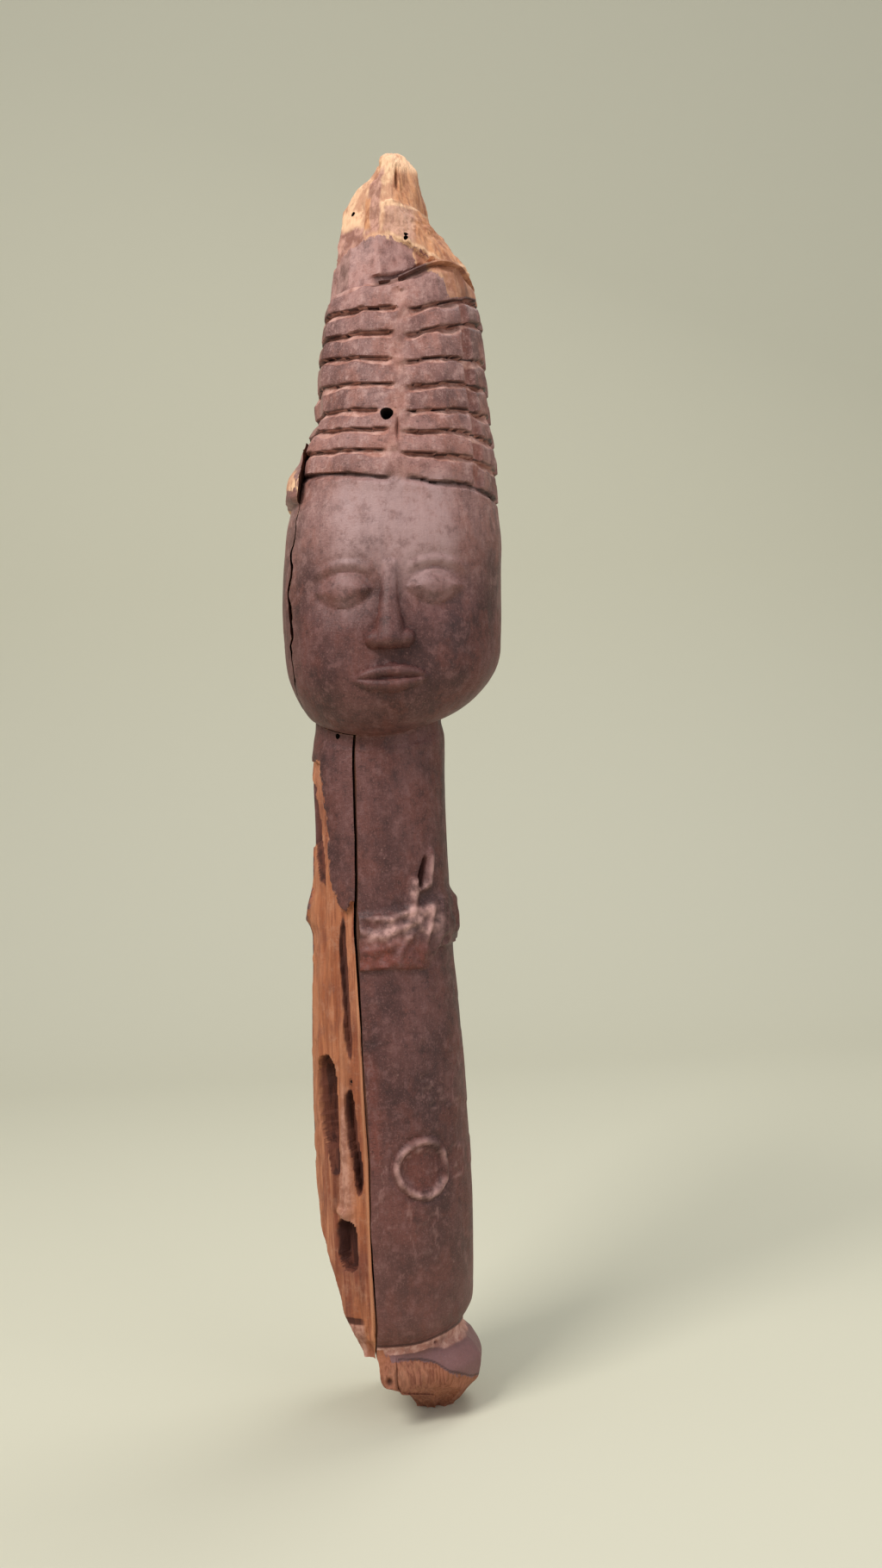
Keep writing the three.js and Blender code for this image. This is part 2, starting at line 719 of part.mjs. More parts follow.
// A long hollow sunk into the decayed face of the stave
function hollow([share, across, halfWidth, depth, halfHeight]) {
  const level = footHeight + share * shaftLength;
  const { middle, half, front } = sectionAt(level);
  const side = clamp((across * shaftWidth - middle) / half, -0.97, 0.97);
  const geometry = new THREE.SphereGeometry(1, hollowSegments, hollowSegments);
  geometry.scale(halfWidth * shaftWidth, depth * shaftWidth, halfHeight * shaftLength);
  geometry.translate(across * shaftWidth, -front * Math.sqrt(1 - side * side) + decayDepth, level);
  return solidOf(geometry);
}

// A hole, square to the surface
function hole(level, turn, radius, depth) {
  const mouth = surfacePoint(level, turn);
  const { middle } = sectionAt(level);
  const inward = new THREE.Vector3(middle, 0, mouth.z).sub(mouth).normalize();
  const geometry = new THREE.CylinderGeometry(radius, radius, 2 * depth, holeSides);
  const upright = new THREE.Vector3(0, 1, 0);
  geometry.applyQuaternion(new THREE.Quaternion().setFromUnitVectors(upright, inward));
  geometry.translate(mouth.x, mouth.y, mouth.z);
  return solidOf(geometry);
}

// A closed band through sections that follow each other round, from the last back to the first
function closedBand(sections) {
  const sides = sections[0].length;
  const index = sections.flatMap((_, i) => {
    const next = ((i + 1) % sections.length) * sides;
    return Array.from({ length: sides }, (__, j) => {
      const beside = (j + 1) % sides;
      const [a, b] = [i * sides + j, i * sides + beside];
      const [c, d] = [next + j, next + beside];
      return [a, b, d, a, d, c];
    }).flat();
  });
  const geometry = new THREE.BufferGeometry();
  const positions = sections.flat().flatMap((p) => [p.x, p.y, p.z]);
  geometry.setAttribute('position', new THREE.Float32BufferAttribute(positions, 3));
  geometry.setIndex(index);
  return geometry;
}

// The raised ring low on the front of the shaft, bent to the shaft's curve
function ringOrnament() {
  const around = 26;
  const sides = 6;
  const level = footHeight + ringHeight;
  return solidOf(closedBand(Array.from({ length: around }, (_, i) => {
    const angle = 2 * Math.PI * i / around;
    return Array.from({ length: sides }, (__, j) => {
      const corner = 2 * Math.PI * j / sides;
      const radius = ringRadius + ringThickness / 2 * Math.cos(corner);
      const aside = radius * Math.sin(angle) / (shaftWidth / 2);
      const rise = Math.sin(corner) < 0 ? -featureRoot : ringRise * Math.sin(corner);
      return surfacePoint(level + radius * Math.cos(angle), ringTurn + aside, rise);
    });
  })));
}

// A geometry whose X is across, Y is the rise and Z the height, laid onto the face
function laidOnFace(geometry) {
  const places = geometry.attributes.position;
  for (let i = 0; i < places.count; i += 1) {
    const p = facePoint(places.getX(i), places.getZ(i), places.getY(i));
    places.setXYZ(i, p.x, p.y, p.z);
  }
  return solidOf(geometry);
}

// A dome on the face, bent by a rule that moves each of its points
function faceDome(halfWidth, rise, halfHeight, bend) {
  const geometry = new THREE.SphereGeometry(1, 14, 8);
  geometry.scale(halfWidth, 1, halfHeight);
  const places = geometry.attributes.position;
  for (let i = 0; i < places.count; i += 1) {
    const [x, y, z] = [places.getX(i), places.getY(i), places.getZ(i)];
    const [across, height] = bend(x, z);
    places.setXYZ(i, across, y > 0 ? y * rise : y * featureRoot, height);
  }
  return laidOnFace(geometry);
}

// An eye with its two lids: an almond that comes to a point at both corners
function eye(side) {
  const place = side * eyeOffset;
  const ball = faceDome(eyeWidth / 2, eyeBulge, eyeHeight / 2, (x, z) => {
    const apart = Math.hypot(2 * x / eyeWidth, 2 * z / eyeHeight);
    const slope = apart > 0 ? Math.abs(2 * z / eyeHeight) / apart : 0;
    return [place + x, eyeLevel + z * slope];
  });
  const around = 24;
  const sides = 6;
  const lids = closedBand(Array.from({ length: around }, (_, i) => {
    const angle = 2 * Math.PI * i / around;
    const across = place + eyeWidth / 2 * Math.cos(angle);
    const height = eyeLevel + eyeHeight / 2 * Math.sin(angle) * Math.abs(Math.sin(angle));
    return Array.from({ length: sides }, (__, j) => {
      const corner = 2 * Math.PI * j / sides;
      const out = lidThickness / 2 * Math.cos(corner);
      const rise = Math.sin(corner) < 0 ? -featureRoot : lidThickness * Math.sin(corner);
      return new THREE.Vector3(across + out * Math.cos(angle), rise, height + out * Math.sin(angle));
    });
  }));
  return ball.add(laidOnFace(lids));
}

function brow(side) {
  return faceDome(eyeWidth * 0.62, browRise, browHeight / 2, (x, z) => {
    const fall = browHeight * (x / eyeWidth) ** 2 * 2;
    return [side * eyeOffset * 1.04 + x, browLevel + z - fall];
  });
}

// The nose widens and stands further out towards its base
function nose() {
  const steps = 9;
  const sides = 12;
  const rings = Array.from({ length: steps }, (_, i) => {
    const down = 1 - i / (steps - 1);
    const round = Math.sin(Math.PI / 2 * Math.min(1, (1 - down) * 5 + 0.45));
    const halfWidth = noseWidth / 2 * lerp(0.3, 0.72, down ** 1.8);
    const rise = noseRise * lerp(0.12, 1, down ** 1.15) * round;
    const height = lerp(browLevel, noseLevel, down);
    return Array.from({ length: sides }, (__, j) => {
      const corner = 2 * Math.PI * j / sides;
      const out = Math.sin(corner);
      return new THREE.Vector3(halfWidth * Math.cos(corner), out < 0 ? out * featureRoot : out * rise, height);
    });
  });
  const bridge = loft(rings);
  const wings = [-1, 1].map((side) => faceDome(noseWidth * 0.2, nostrilRise, noseWidth * 0.18, (x, z) => (
    [side * noseWidth * 0.3 + x, noseLevel + noseWidth * 0.17 + z]
  )));
  return wings.reduce((solid, wing) => solid.add(wing), laidOnFace(bridge));
}

function lips() {
  const lip = (up) => faceDome(lipWidth / 2, lipRise, lipHeight / 2, (x, z) => {
    const open = 1 - (2 * x / lipWidth) ** 2;
    return [x, mouthLevel + z + up * lipHeight * 0.46 * open];
  });
  return lip(1).add(lip(-1));
}

function buildCarvedLog() {
  const features = [ringOrnament(), eye(-1), eye(1), brow(-1), brow(1), nose(), lips()];
  let log = features.reduce((solid, feature) => solid.add(feature), wholeLog());
  const staveRoom = shaftSolid(-cutOverrun, 0, cutOverrun, false);
  log = log.subtract(staveRoom.intersect(leftOfSplit(-cutOverrun, false)));
  log = log.subtract(leftOfFaceSplit(0, 0));
  const large = largeHoleShares.map(([share, turn]) => (
    hole(hairLevel + share * hairHeight, turn, largeHoleRadius, largeHoleDepth)
  ));
  const small = smallHoleShares.map(([share, turn]) => (
    hole(hairLevel + share * hairHeight, turn, smallHoleRadius, smallHoleDepth)
  ));
  return [...large, ...small].reduce((solid, cut) => solid.subtract(cut), log);
}

function buildStave() {
  const stave = shaftSolid(staveEndHeight, endClearance, 0, true).intersect(leftOfSplit(staveEndHeight, true));
  const holes = staveHoleShares.map(([share, turn]) => (
    hole(footHeight + share * shaftLength, turn, smallHoleRadius, smallHoleDepth)
  ));
  return [...hollowShares.map(hollow), ...holes].reduce((solid, cut) => solid.subtract(cut), stave);
}

function buildSplinter() {
  return wholeLog().intersect(leftOfFaceSplit(splinterGap, endClearance));
}

const patina = new THREE.MeshStandardMaterial({ color: 0x5d413d, roughness: 0.55, metalness: 0 });
const bareWood = new THREE.MeshStandardMaterial({ color: 0xa96c45, roughness: 0.8, metalness: 0 });

function piece(name, solid, material) {
  const mesh = new THREE.Mesh(geometryOf(solid), material);
  mesh.name = name;
  return mesh;
}

const wand = new THREE.Group();
wand.name = 'dance_wand';
wand.add(
  piece('carved_log', buildCarvedLog(), patina),
  piece('shaft_stave', buildStave(), bareWood),
  piece('head_splinter', buildSplinter(), patina),
);

export default wand;
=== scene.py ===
"""A dance wand carved from one log: a foot, a round shaft with a collar and a raised ring, a head, and a tall
crest of hair in tiers whose top has broken off. The stain is worn, beetles have eaten the left of the shaft,
and the dry log has split. Shapes are worked out in millimetres of the carving as drawn."""
import math
import bpy
import numpy as np
from mathutils import Matrix, Vector


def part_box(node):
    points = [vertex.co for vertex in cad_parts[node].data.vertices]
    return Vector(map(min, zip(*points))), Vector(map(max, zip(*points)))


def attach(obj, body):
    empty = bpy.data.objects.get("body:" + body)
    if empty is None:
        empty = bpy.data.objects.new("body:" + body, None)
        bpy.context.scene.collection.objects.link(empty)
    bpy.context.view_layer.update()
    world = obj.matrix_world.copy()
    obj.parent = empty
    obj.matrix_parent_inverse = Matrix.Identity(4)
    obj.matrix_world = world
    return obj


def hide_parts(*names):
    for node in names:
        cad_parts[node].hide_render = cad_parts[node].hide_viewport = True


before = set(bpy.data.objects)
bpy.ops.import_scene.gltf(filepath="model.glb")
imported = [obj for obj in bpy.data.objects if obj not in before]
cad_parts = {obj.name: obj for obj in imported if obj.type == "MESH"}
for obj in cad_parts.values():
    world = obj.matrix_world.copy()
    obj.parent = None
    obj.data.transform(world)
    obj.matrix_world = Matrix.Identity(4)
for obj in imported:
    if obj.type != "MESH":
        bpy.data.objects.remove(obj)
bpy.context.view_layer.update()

# Sizes in millimetres of the carving as drawn; the frame says how long one of them is
FOOT_HEIGHT = 25.0
SHAFT_LENGTH = 188.0
FACE_HEIGHT = 76.0
HAIR_HEIGHT = 109.0
FOOT_WIDTH = 54.4
SHAFT_WIDTH = 50.0
HEAD_WIDTH = 69.5
HEAD_DEPTH = 71.0
HAIR_WIDTH = 64.0
LEAN = 10.0
CHIN_DROP = 12.0
JAW_ROUND = 18.0
NECK_FADE = 22.0

NECK = FOOT_HEIGHT + SHAFT_LENGTH
JAW = NECK + CHIN_DROP
HAIR = NECK + FACE_HEIGHT
TIP = HAIR + HAIR_HEIGHT
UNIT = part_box("carved_log")[1].z / TIP

# The log's sections as shares: height in the zone, half width, depth to the front, to the back, middle
FOOT_SECTION_SHARES = (
    (0, 0.12, 0.075, 0.17, 0),
    (0.085, 0.155, 0.12, 0.235, 0.02),
    (0.3, 0.25, 0.24, 0.345, -0.02),
    (0.52, 0.512, 0.41, 0.43, -1.14),
    (0.61, 0.52, 0.42, 0.44, -1.15),
    (0.77, 0.482, 0.4, 0.42, -1.15),
    (0.93, 0.405, 0.36, 0.38, -1.14),
)
SHAFT_SECTION_SHARES = (
    (0.005, 0.438, 0.41, 0.42, -1.13),
    (0.018, 0.462, 0.445, 0.45, -1.12),
    (0.05, 0.488, 0.47, 0.475, -1.1),
    (0.2, 0.5, 0.48, 0.485, -1),
    (0.35, 0.49, 0.472, 0.478, -0.94),
    (0.5, 0.474, 0.456, 0.46, -0.92),
    (0.64, 0.442, 0.428, 0.43, -0.89),
    (0.79, 0.424, 0.412, 0.414, -0.8),
    (0.93, 0.404, 0.394, 0.396, -0.66),
    (1, 0.4, 0.39, 0.392, -0.58),
)
HEAD_SECTION_SHARES = (
    (0, 0.455, 0.445, 0.41, -0.05),
    (0.22, 0.488, 0.475, 0.45, 0),
    (0.5, 0.5, 0.485, 0.48, 0.06),
    (0.75, 0.493, 0.49, 0.488, 0.22),
    (0.94, 0.464, 0.472, 0.48, 0.38),
)
HAIR_SECTION_SHARES = (
    (0.02, 0.492, 0.525, 0.525, 0.44),
    (0.06, 0.492, 0.522, 0.525, 0.47),
    (0.193, 0.452, 0.485, 0.49, 0.6),
    (0.349, 0.43, 0.44, 0.45, 0.69),
    (0.523, 0.397, 0.4, 0.41, 0.79),
    (0.642, 0.354, 0.36, 0.37, 0.76),
    (0.706, 0.31, 0.33, 0.33, 0.66),
    (0.76, 0.251, 0.28, 0.28, 0.5),
    (0.83, 0.226, 0.23, 0.24, 0.48),
    (0.9, 0.205, 0.2, 0.21, 0.62),
    (0.96, 0.16, 0.15, 0.16, 0.78),
    (1, 0.1, 0.1, 0.1, 0.86),
)
SHAFT_SQUARENESS = 2.0
HEAD_SQUARENESS = 2.3

# The levels between the tiers of the hair, and how far each rises on the left and on the right of the face
TIER_SHARES = (0, 0.07, 0.13, 0.187, 0.263, 0.337, 0.414, 0.483, 0.573)
TIER_RISES = (
    (0, 5.0, -3.0),
    (0.07, 4.2, -1.6),
    (0.13, 4.4, 0.4),
    (0.187, 3.8, 2.0),
    (0.263, 2.6, 2.4),
    (0.337, 3.4, 3.0),
    (0.414, 1.6, 7.0),
    (0.483, 1.8, 7.0),
    (0.573, -2.5, 2.0),
    (0.7, -1.0, 3.0),
    (0.85, 0, 0),
)
FLAT_SHARES = (0.263, 0.84)
FLAT_DEPTH_SHARE = 0.895
TOP_TIER_RISE, TOP_TIER_TURN, TOP_TIER_WIDTH = 4.8, 0.62, 0.75
TOP_TIER_FADE_SHARES = (0.6, 0.78)
SHOULDER_Z, SHOULDER_REACH = 24.5, 17.0

# The left edge that the decay leaves low on the shaft, and the long split's line on the front, as shares
BROKEN_EDGE_SHARES = (
    (-0.03, 0.17), (0.01, 0.222), (0.06, 0.285), (0.12, 0.348), (0.2, 0.42), (0.28, 0.44), (0.4, 0.48),
    (0.55, 0.6),
)
SPLIT_LINE_SHARES = (
    (-0.2, 0.305), (0.1, 0.305), (0.35, 0.294), (0.52, 0.29), (0.62, 0.282), (0.73, 0.262), (0.87, 0.243),
    (1.1, 0.215),
)
FOOT_LEFT = (
    (0, -5.6), (3, -6.9), (8, -8.6), (13.2, -10.0), (14.4, -13.9), (17, -15.2), (20, -15.6), (25, -17.2),
)
SPLIT_SLANT = 0.22
SPLIT_GAP = 0.35
SPLIT_OPEN = 0.6
SPLINTER_LINE_SHARES = (
    (0, 0.395), (0.24, 0.413), (0.42, 0.41), (0.63, 0.403), (0.87, 0.365), (1, 0.335), (1.1, 0.317),
    (1.2, 0.298), (1.24, 0.288),
)
SPLINTER_SLANT = 0.08
SPLINTER_GAP = 0.35
SPLINTER_OPEN = 0.8
SPLINTER_TOP = 305.0
SPLINTER_HALVES = (36.6, 32.4)
SPLINTER_CREST = 296.6
SPLINTER_BREAK_X, SPLINTER_BREAK_LOW, SPLINTER_BREAK_HIGH = -26.8, 288.5, 298
WIDEST_RIGHT = 36.45
FAR_AWAY = 1e3

# Beetle holes: the place of each on the front, its radius and its depth
HOLES = (
    ((2.9, 308.3), 1.95, 9.0),
    ((-4.8, 378.1), 0.8, 4.0),
    ((-11.2, 351.4), 0.9, 4.0),
    ((11.5, 365.7), 0.75, 4.5),
    ((11.6, 367.0), 0.7, 4.5),
)
STAVE_HOLES = (((-18.1, 213.5), 0.9, 4.0), ((-19.4, 107.5), 0.6, 3.0))
SPLINTER_EDGE = (
    (282, -34.0), (286, -31.0), (290, -29.4), (294, -28.5), (297, -27.0), (299, -24.8), (302, -23.5),
    (305, -22.5),
)


# Small maths
def held(value):
    """The value, kept between 0 and 1."""
    return np.clip(value, 0, 1)


def smooth(value, low, high):
    t = held((value - low) / (high - low))
    return t * t * (3 - 2 * t)


def bell(distance, reach):
    q = np.minimum(1, np.abs(distance) / reach)
    return (1 - q * q) ** 2


def tent(distance, reach):
    return np.maximum(0, 1 - np.abs(distance) / reach)


def patch(x, z, place):
    """A soft patch: its middle across and up, half its width and height, and its strength in the middle."""
    at_x, at_z, half_width, half_height, strength = place
    return strength * bell(x - at_x, half_width) * bell(z - at_z, half_height)


def pocket(x, z, place):
    """The same with an oval outline."""
    at_x, at_z, half_width, half_height, strength = place
    return strength * bell(np.hypot((x - at_x) / half_width, (z - at_z) / half_height), 1)


def plateau(place, low, high, edge):
    return smooth(place, low - edge, low) * (1 - smooth(place, high, high + edge))


def mix(a, b, share):
    return a + (b - a) * share


def curve_through(stations):
    """A curve through stations (place, value, value...) that never overshoots them."""
    table = np.array(stations, float)
    at = table[:, 0]
    rise = np.diff(table[:, 1:], axis=0) / np.diff(at)[:, None]
    slope = np.zeros_like(table[:, 1:])
    both = rise[:-1] * rise[1:]
    slope[1:-1] = np.where(both > 0, 2 * both / np.where(both > 0, rise[:-1] + rise[1:], 1), 0)

    def value(place, k=1):
        x = np.clip(place, at[0], at[-1])
        i = np.clip(np.searchsorted(at, x, side="right") - 1, 0, len(at) - 2)
        span = at[i + 1] - at[i]
        t = (x - at[i]) / span
        start, end = table[i, k], table[i + 1, k]
        leave, arrive = slope[i, k - 1] * span, slope[i + 1, k - 1] * span
        return (
            start * (1 + 2 * t) * (1 - t) ** 2 + leave * t * (1 - t) ** 2
            + end * t * t * (3 - 2 * t) + arrive * t * t * (t - 1)
        )

    return value


# Noise, the same on every run
def scatter(i, j, k, seed):
    """A number from 0 to 1 for each corner of a lattice."""
    n = (i.astype(np.uint32) * np.uint32(374761393)) ^ (j.astype(np.uint32) * np.uint32(668265263))
    n ^= (k.astype(np.uint32) * np.uint32(2147483647)) ^ np.uint32(seed * 974634777 % 4294967296)
    n = (n ^ (n >> np.uint32(13))) * np.uint32(1274126177)
    n = (n ^ (n >> np.uint32(16))) * np.uint32(2246822519)
    return (n ^ (n >> np.uint32(15))).astype(np.float64) / 4294967295.0


def noise(x, y, z, size, seed):
    """Smooth noise from -1 to 1 whose lumps are about size wide."""
    cells, parts = [], []
    for value in np.broadcast_arrays(x / size, y / size, z / size):
        cell = np.floor(value)
        t = value - cell
        cells.append(cell.astype(np.int64))
        parts.append(t * t * t * (t * (t * 6 - 15) + 10))
    total = 0
    for corner in np.ndindex(2, 2, 2):
        near = [part if step else 1 - part for part, step in zip(parts, corner)]
        i, j, k = [cell + step for cell, step in zip(cells, corner)]
        total += near[0] * near[1] * near[2] * scatter(i, j, k, seed)
    return total * 2 - 1


def noise_at(x, y, z):
    """Noise at these points by size and seed; with along under 1 its lumps are stretched upwards."""
    return lambda size, seed, along=1.0: noise(x, y, z * along, size, seed)


def cuts(x, y, z, size, seed):
    """The hollows of a knife or gouge: 0 in the middle of each, rising to sharp ridges between them."""
    cells = [np.floor(value / size).astype(np.int64) for value in (x, y, z)]
    nearest = np.full(np.shape(x), 9.0)
    for around in np.ndindex(3, 3, 3):
        i, j, k = [cell + step - 1 for cell, step in zip(cells, around)]
        gap = (
            (x / size - i - scatter(i, j, k, seed)) ** 2
            + (y / size - j - scatter(i, j, k, seed + 7)) ** 2
            + (z / size - k - scatter(i, j, k, seed + 13)) ** 2
        )
        nearest = np.minimum(nearest, gap)
    return nearest


def chords(along, width, radius, seed):
    """How far flat cuts of about one width lie inside a round of that radius."""
    place = along / width + 0.31 * seed
    cell = np.floor(place).astype(np.int64)
    low, high = [at + 0.35 * (scatter(at, seed + 0 * at, 0 * at, 5) - 0.5) for at in (cell, cell + 1)]
    half, off = (high - low) / 2, place - (high + low) / 2
    return np.maximum(0, half ** 2 - off ** 2) * width ** 2 / (2 * radius)


# The log
def zone(shares, bottom, height, width, depth=None):
    depth = depth or width
    return [
        (bottom + at * height, half * width, front * depth, back * depth, middle * LEAN)
        for at, half, front, back, middle in shares
    ]


lower_log = curve_through(
    zone(FOOT_SECTION_SHARES, 0, FOOT_HEIGHT, FOOT_WIDTH)
    + zone(SHAFT_SECTION_SHARES, FOOT_HEIGHT, SHAFT_LENGTH, SHAFT_WIDTH)
)
upper_log = curve_through(
    zone(HEAD_SECTION_SHARES, JAW, HAIR - JAW, HEAD_WIDTH, HEAD_DEPTH)
    + zone(HAIR_SECTION_SHARES, HAIR, HAIR_HEIGHT, HAIR_WIDTH)
)
tier_rise = curve_through([(HAIR + at * HAIR_HEIGHT, left, right) for at, left, right in TIER_RISES])
broken_edge = curve_through(BROKEN_EDGE_SHARES)
foot_left = curve_through(FOOT_LEFT)
split_line = curve_through(SPLIT_LINE_SHARES)
splinter_line = curve_through(SPLINTER_LINE_SHARES)
splinter_limit = curve_through(SPLINTER_EDGE)
TIERS = np.array([HAIR + share * HAIR_HEIGHT for share in TIER_SHARES])


def section_at(level):
    """Half width, front depth, back depth, middle and squareness of the log at each level."""
    under = held((level - JAW) / JAW_ROUND)
    grown = np.sqrt(np.maximum(0, 1 - (1 - under) ** 2))
    grown = np.where(level > JAW, grown, 0)
    read = [mix(lower_log(level, k), upper_log(level, k), grown) for k in (1, 2, 3, 4)]
    return (*read, mix(SHAFT_SQUARENESS, HEAD_SQUARENESS, grown))


def split_x(z):
    """The long split's line on the front of the shaft."""
    return -split_line((z - FOOT_HEIGHT) / SHAFT_LENGTH) * SHAFT_WIDTH


def splinter_x(z):
    return -splinter_line((z - NECK) / (HAIR - NECK)) * HEAD_WIDTH


def shift_up(level, turn, across, half):
    """The chin hangs lower than the nape, and the tiers of the hair rise to the sides."""
    to_front = ((1 + np.cos(turn)) / 2) ** 1.5
    drop = CHIN_DROP * to_front * smooth(level, JAW - NECK_FADE, JAW) * (1 - smooth(level, JAW, HAIR))
    side = across / half
    in_hair = smooth(level, JAW + JAW_ROUND, HAIR)
    left = tier_rise(level, 1) * np.clip(-side, 0, 2) ** 1.3
    right = tier_rise(level, 2) * np.clip(side, 0, 2) ** 1.8
    to_back = smooth(np.abs(turn), math.radians(80), math.radians(150))
    shoulder = (0.6 + 1.4 * smooth(np.sin(turn), 0.3, 0.9)) * bell(level - SHOULDER_Z, SHOULDER_REACH)
    share = (level - HAIR) / HAIR_HEIGHT
    top_tier = smooth(share, *TIER_SHARES[-2:]) * (1 - smooth(share, *TOP_TIER_FADE_SHARES))
    swell = TOP_TIER_RISE * bell(turn - TOP_TIER_TURN, TOP_TIER_WIDTH) * top_tier
    return (left + right) * in_hair * (1 - to_back * 0.7) - drop + shoulder + swell


# Carving on the shaft, with places as (turn, height)
SHAFT_RADIUS = SHAFT_WIDTH / 2
COLLAR_LOW, COLLAR_HIGH, COLLAR_RISE = 141.0, 160.0, 1.9
KNOB = (1.3, 154.5, 0.6, 10.5, 1.7)
# Low ridges and strands as line, width and rise
RIDGES = (
    (((0.56, 167.0), (0.47, 156.0)), 3.1, 1.9),
    (((0.87, 176.0), (0.80, 166.5)), 2.0, 1.5),
    (((0.80, 166.5), (0.60, 165.2)), 1.9, 1.5),
)
STRANDS = (
    (((0.62, 160.5), (0.20, 157.0)), 1.7, 0.9),
    (((0.20, 157.0), (-0.35, 158.5)), 1.7, 0.7),
    (((0.50, 155.5), (0.10, 152.0)), 1.6, 0.9),
    (((0.10, 152.0), (-0.35, 154.0)), 1.8, 0.9),
    (((0.80, 159.5), (0.62, 144.0)), 1.7, 0.7),
    (((1.02, 160.5), (0.86, 147.0)), 1.5, 0.4),
    (((0.42, 150.5), (0.22, 144.0)), 2.0, 0.6),
    (((0.12, 148.5), (-0.35, 146.0)), 2.2, 0.5),
)
SLIT = ((0.655, 167.0), (0.755, 174.0))
SLIT_WIDTH, SLIT_DEPTH = 1.5, 4.5
RING_TURN, RING_Z, RING_SQUASH = 0.46, 80.4, 1.1
RING_RADIUS, RING_WIDTH, RING_RISE = 8.7, 2.1, 1.5
NUB = (-1.0, 6.3, 1.7, 1.7, 0.7)
FLAKES_Z, FLAKES_REACH, FLAKE_DEPTH = 95, 75, 0.26
RUBBED_Z, RUBBED_REACH = 80, 60


def along_line(turn, z, line):
    """Distance from a line between two (turn, height) ends on the shaft, and the share of the way."""
    (turn_a, z_a), (turn_b, z_b) = line
    dx, dz = (turn_b - turn_a) * SHAFT_RADIUS, z_b - z_a
    px, pz = (turn - turn_a) * SHAFT_RADIUS, z - z_a
    share = held((px * dx + pz * dz) / (dx * dx + dz * dz))
    return np.hypot(px - share * dx, pz - share * dz), share


def collar_relief(level, turn, x, y):
    """The collar, its strands, knob and ridges; also the slit, the collar's band, and where it is worn by
    rubbing, with a painted highlight on the raised tops of its upper half.
    """
    lumps = noise_at(x, y, level)
    edge_low = COLLAR_LOW + 0.8 * lumps(7, 11, 0.2) + 6.0 * smooth(turn, 0.66, 0.95)
    edge_high = COLLAR_HIGH + 1.2 * lumps(6, 12, 0.2) - 1.5 * smooth(turn, 0.2, -0.4)
    edge_high += 3.0 * smooth(turn, 0.6, 1.1)
    worn = 0.66 + 0.34 * lumps(5.5, 13) + 0.34 * lumps(2.4, 14)
    band = smooth(level, edge_low - 0.35, edge_low + 0.5)
    band *= (1 - smooth(level, edge_high - 2.2, edge_high + 1.2))
    strands = 0 * level
    for line, width, rise in STRANDS:
        far, _ = along_line(turn + 0.03 * lumps(5, 16), level, line)
        strands = np.maximum(strands, rise * bell(far, width))
    coarse, fine = [np.clip(cuts(x, y, level, *kind), 0, 0.9) for kind in ((4.2, 71), (2.2, 72))]
    worked = 0.7 * coarse + 0.5 * fine
    collar = band * ((COLLAR_RISE - 0.3) * worn + strands + worked * smooth(turn, 1.4, 1.0))
    under = 0.9 * bell(level - edge_low + 0.7, 1.2) * smooth(turn, 0.9, 0.3)
    carved = collar + patch(turn, level, KNOB) * (0.35 + 0.65 * band) - under
    raised = 0 * level
    for line, width, rise in RIDGES:
        far, _ = along_line(turn, level, line)
        carved = np.maximum(carved, rise * bell(far, width) ** 0.8 + 0.4 * collar)
        raised = np.maximum(raised, bell(far, width))
    far, share = along_line(turn, level, SLIT)
    slit = SLIT_DEPTH * bell(far, SLIT_WIDTH * (1.25 - 0.45 * share)) ** 0.8
    # Rubbing and a painted highlight: the raised tops of the collar's upper front are lightened
    rubbed_and_highlight = 1.35 * np.clip(carved / COLLAR_RISE - 0.5, 0, 0.8)
    rubbed_and_highlight = rubbed_and_highlight * smooth(level, 147, 154) * smooth(turn, 1.05, 0.7)
    patchy = 0.8 + 0.5 * lumps(2.6, 75) + 0.5 * lumps(1.1, 79)
    return carved, slit, band, (rubbed_and_highlight + 0.32 * raised * smooth(level, 162, 165)) * patchy


def ring_relief(level, turn):
    """The worn ring and the nub inside it; also how far outside the ring a point is, and where the ring is
    worn by rubbing, with a painted highlight on its lower left side.
    """
    across, up = (turn - RING_TURN) * SHAFT_RADIUS, (level - RING_Z) * RING_SQUASH
    lumps = noise_at(across, up, 0 * level)
    angle = np.arctan2(up, across)
    wobble = 0.35 * np.sin(2 * angle + 0.9) + 0.3 * np.sin(3 * angle + 2) + 0.3 * lumps(4, 15)
    outside = np.hypot(across, up) - RING_RADIUS + wobble
    uneven = 0.85 + 0.35 * lumps(3, 17) - 0.35 * bell(angle - 1.0, 0.6)
    ring = RING_RISE * bell(outside, RING_WIDTH / 2 + 0.45) ** 0.6 * uneven
    ring = ring - 0.75 * smooth(-outside, 0.7, 1.9) - 0.4 * bell(outside - 2.0, 1.1)
    # lit: a painted highlight, stronger on the ring's lower left side
    lit = 0.2 + 0.5 * smooth(-across - up, -6, 4) + 0.5 * lumps(2.2, 76)
    return ring, pocket(across, up, NUB), outside, 0.75 * held(ring) * held(lit)


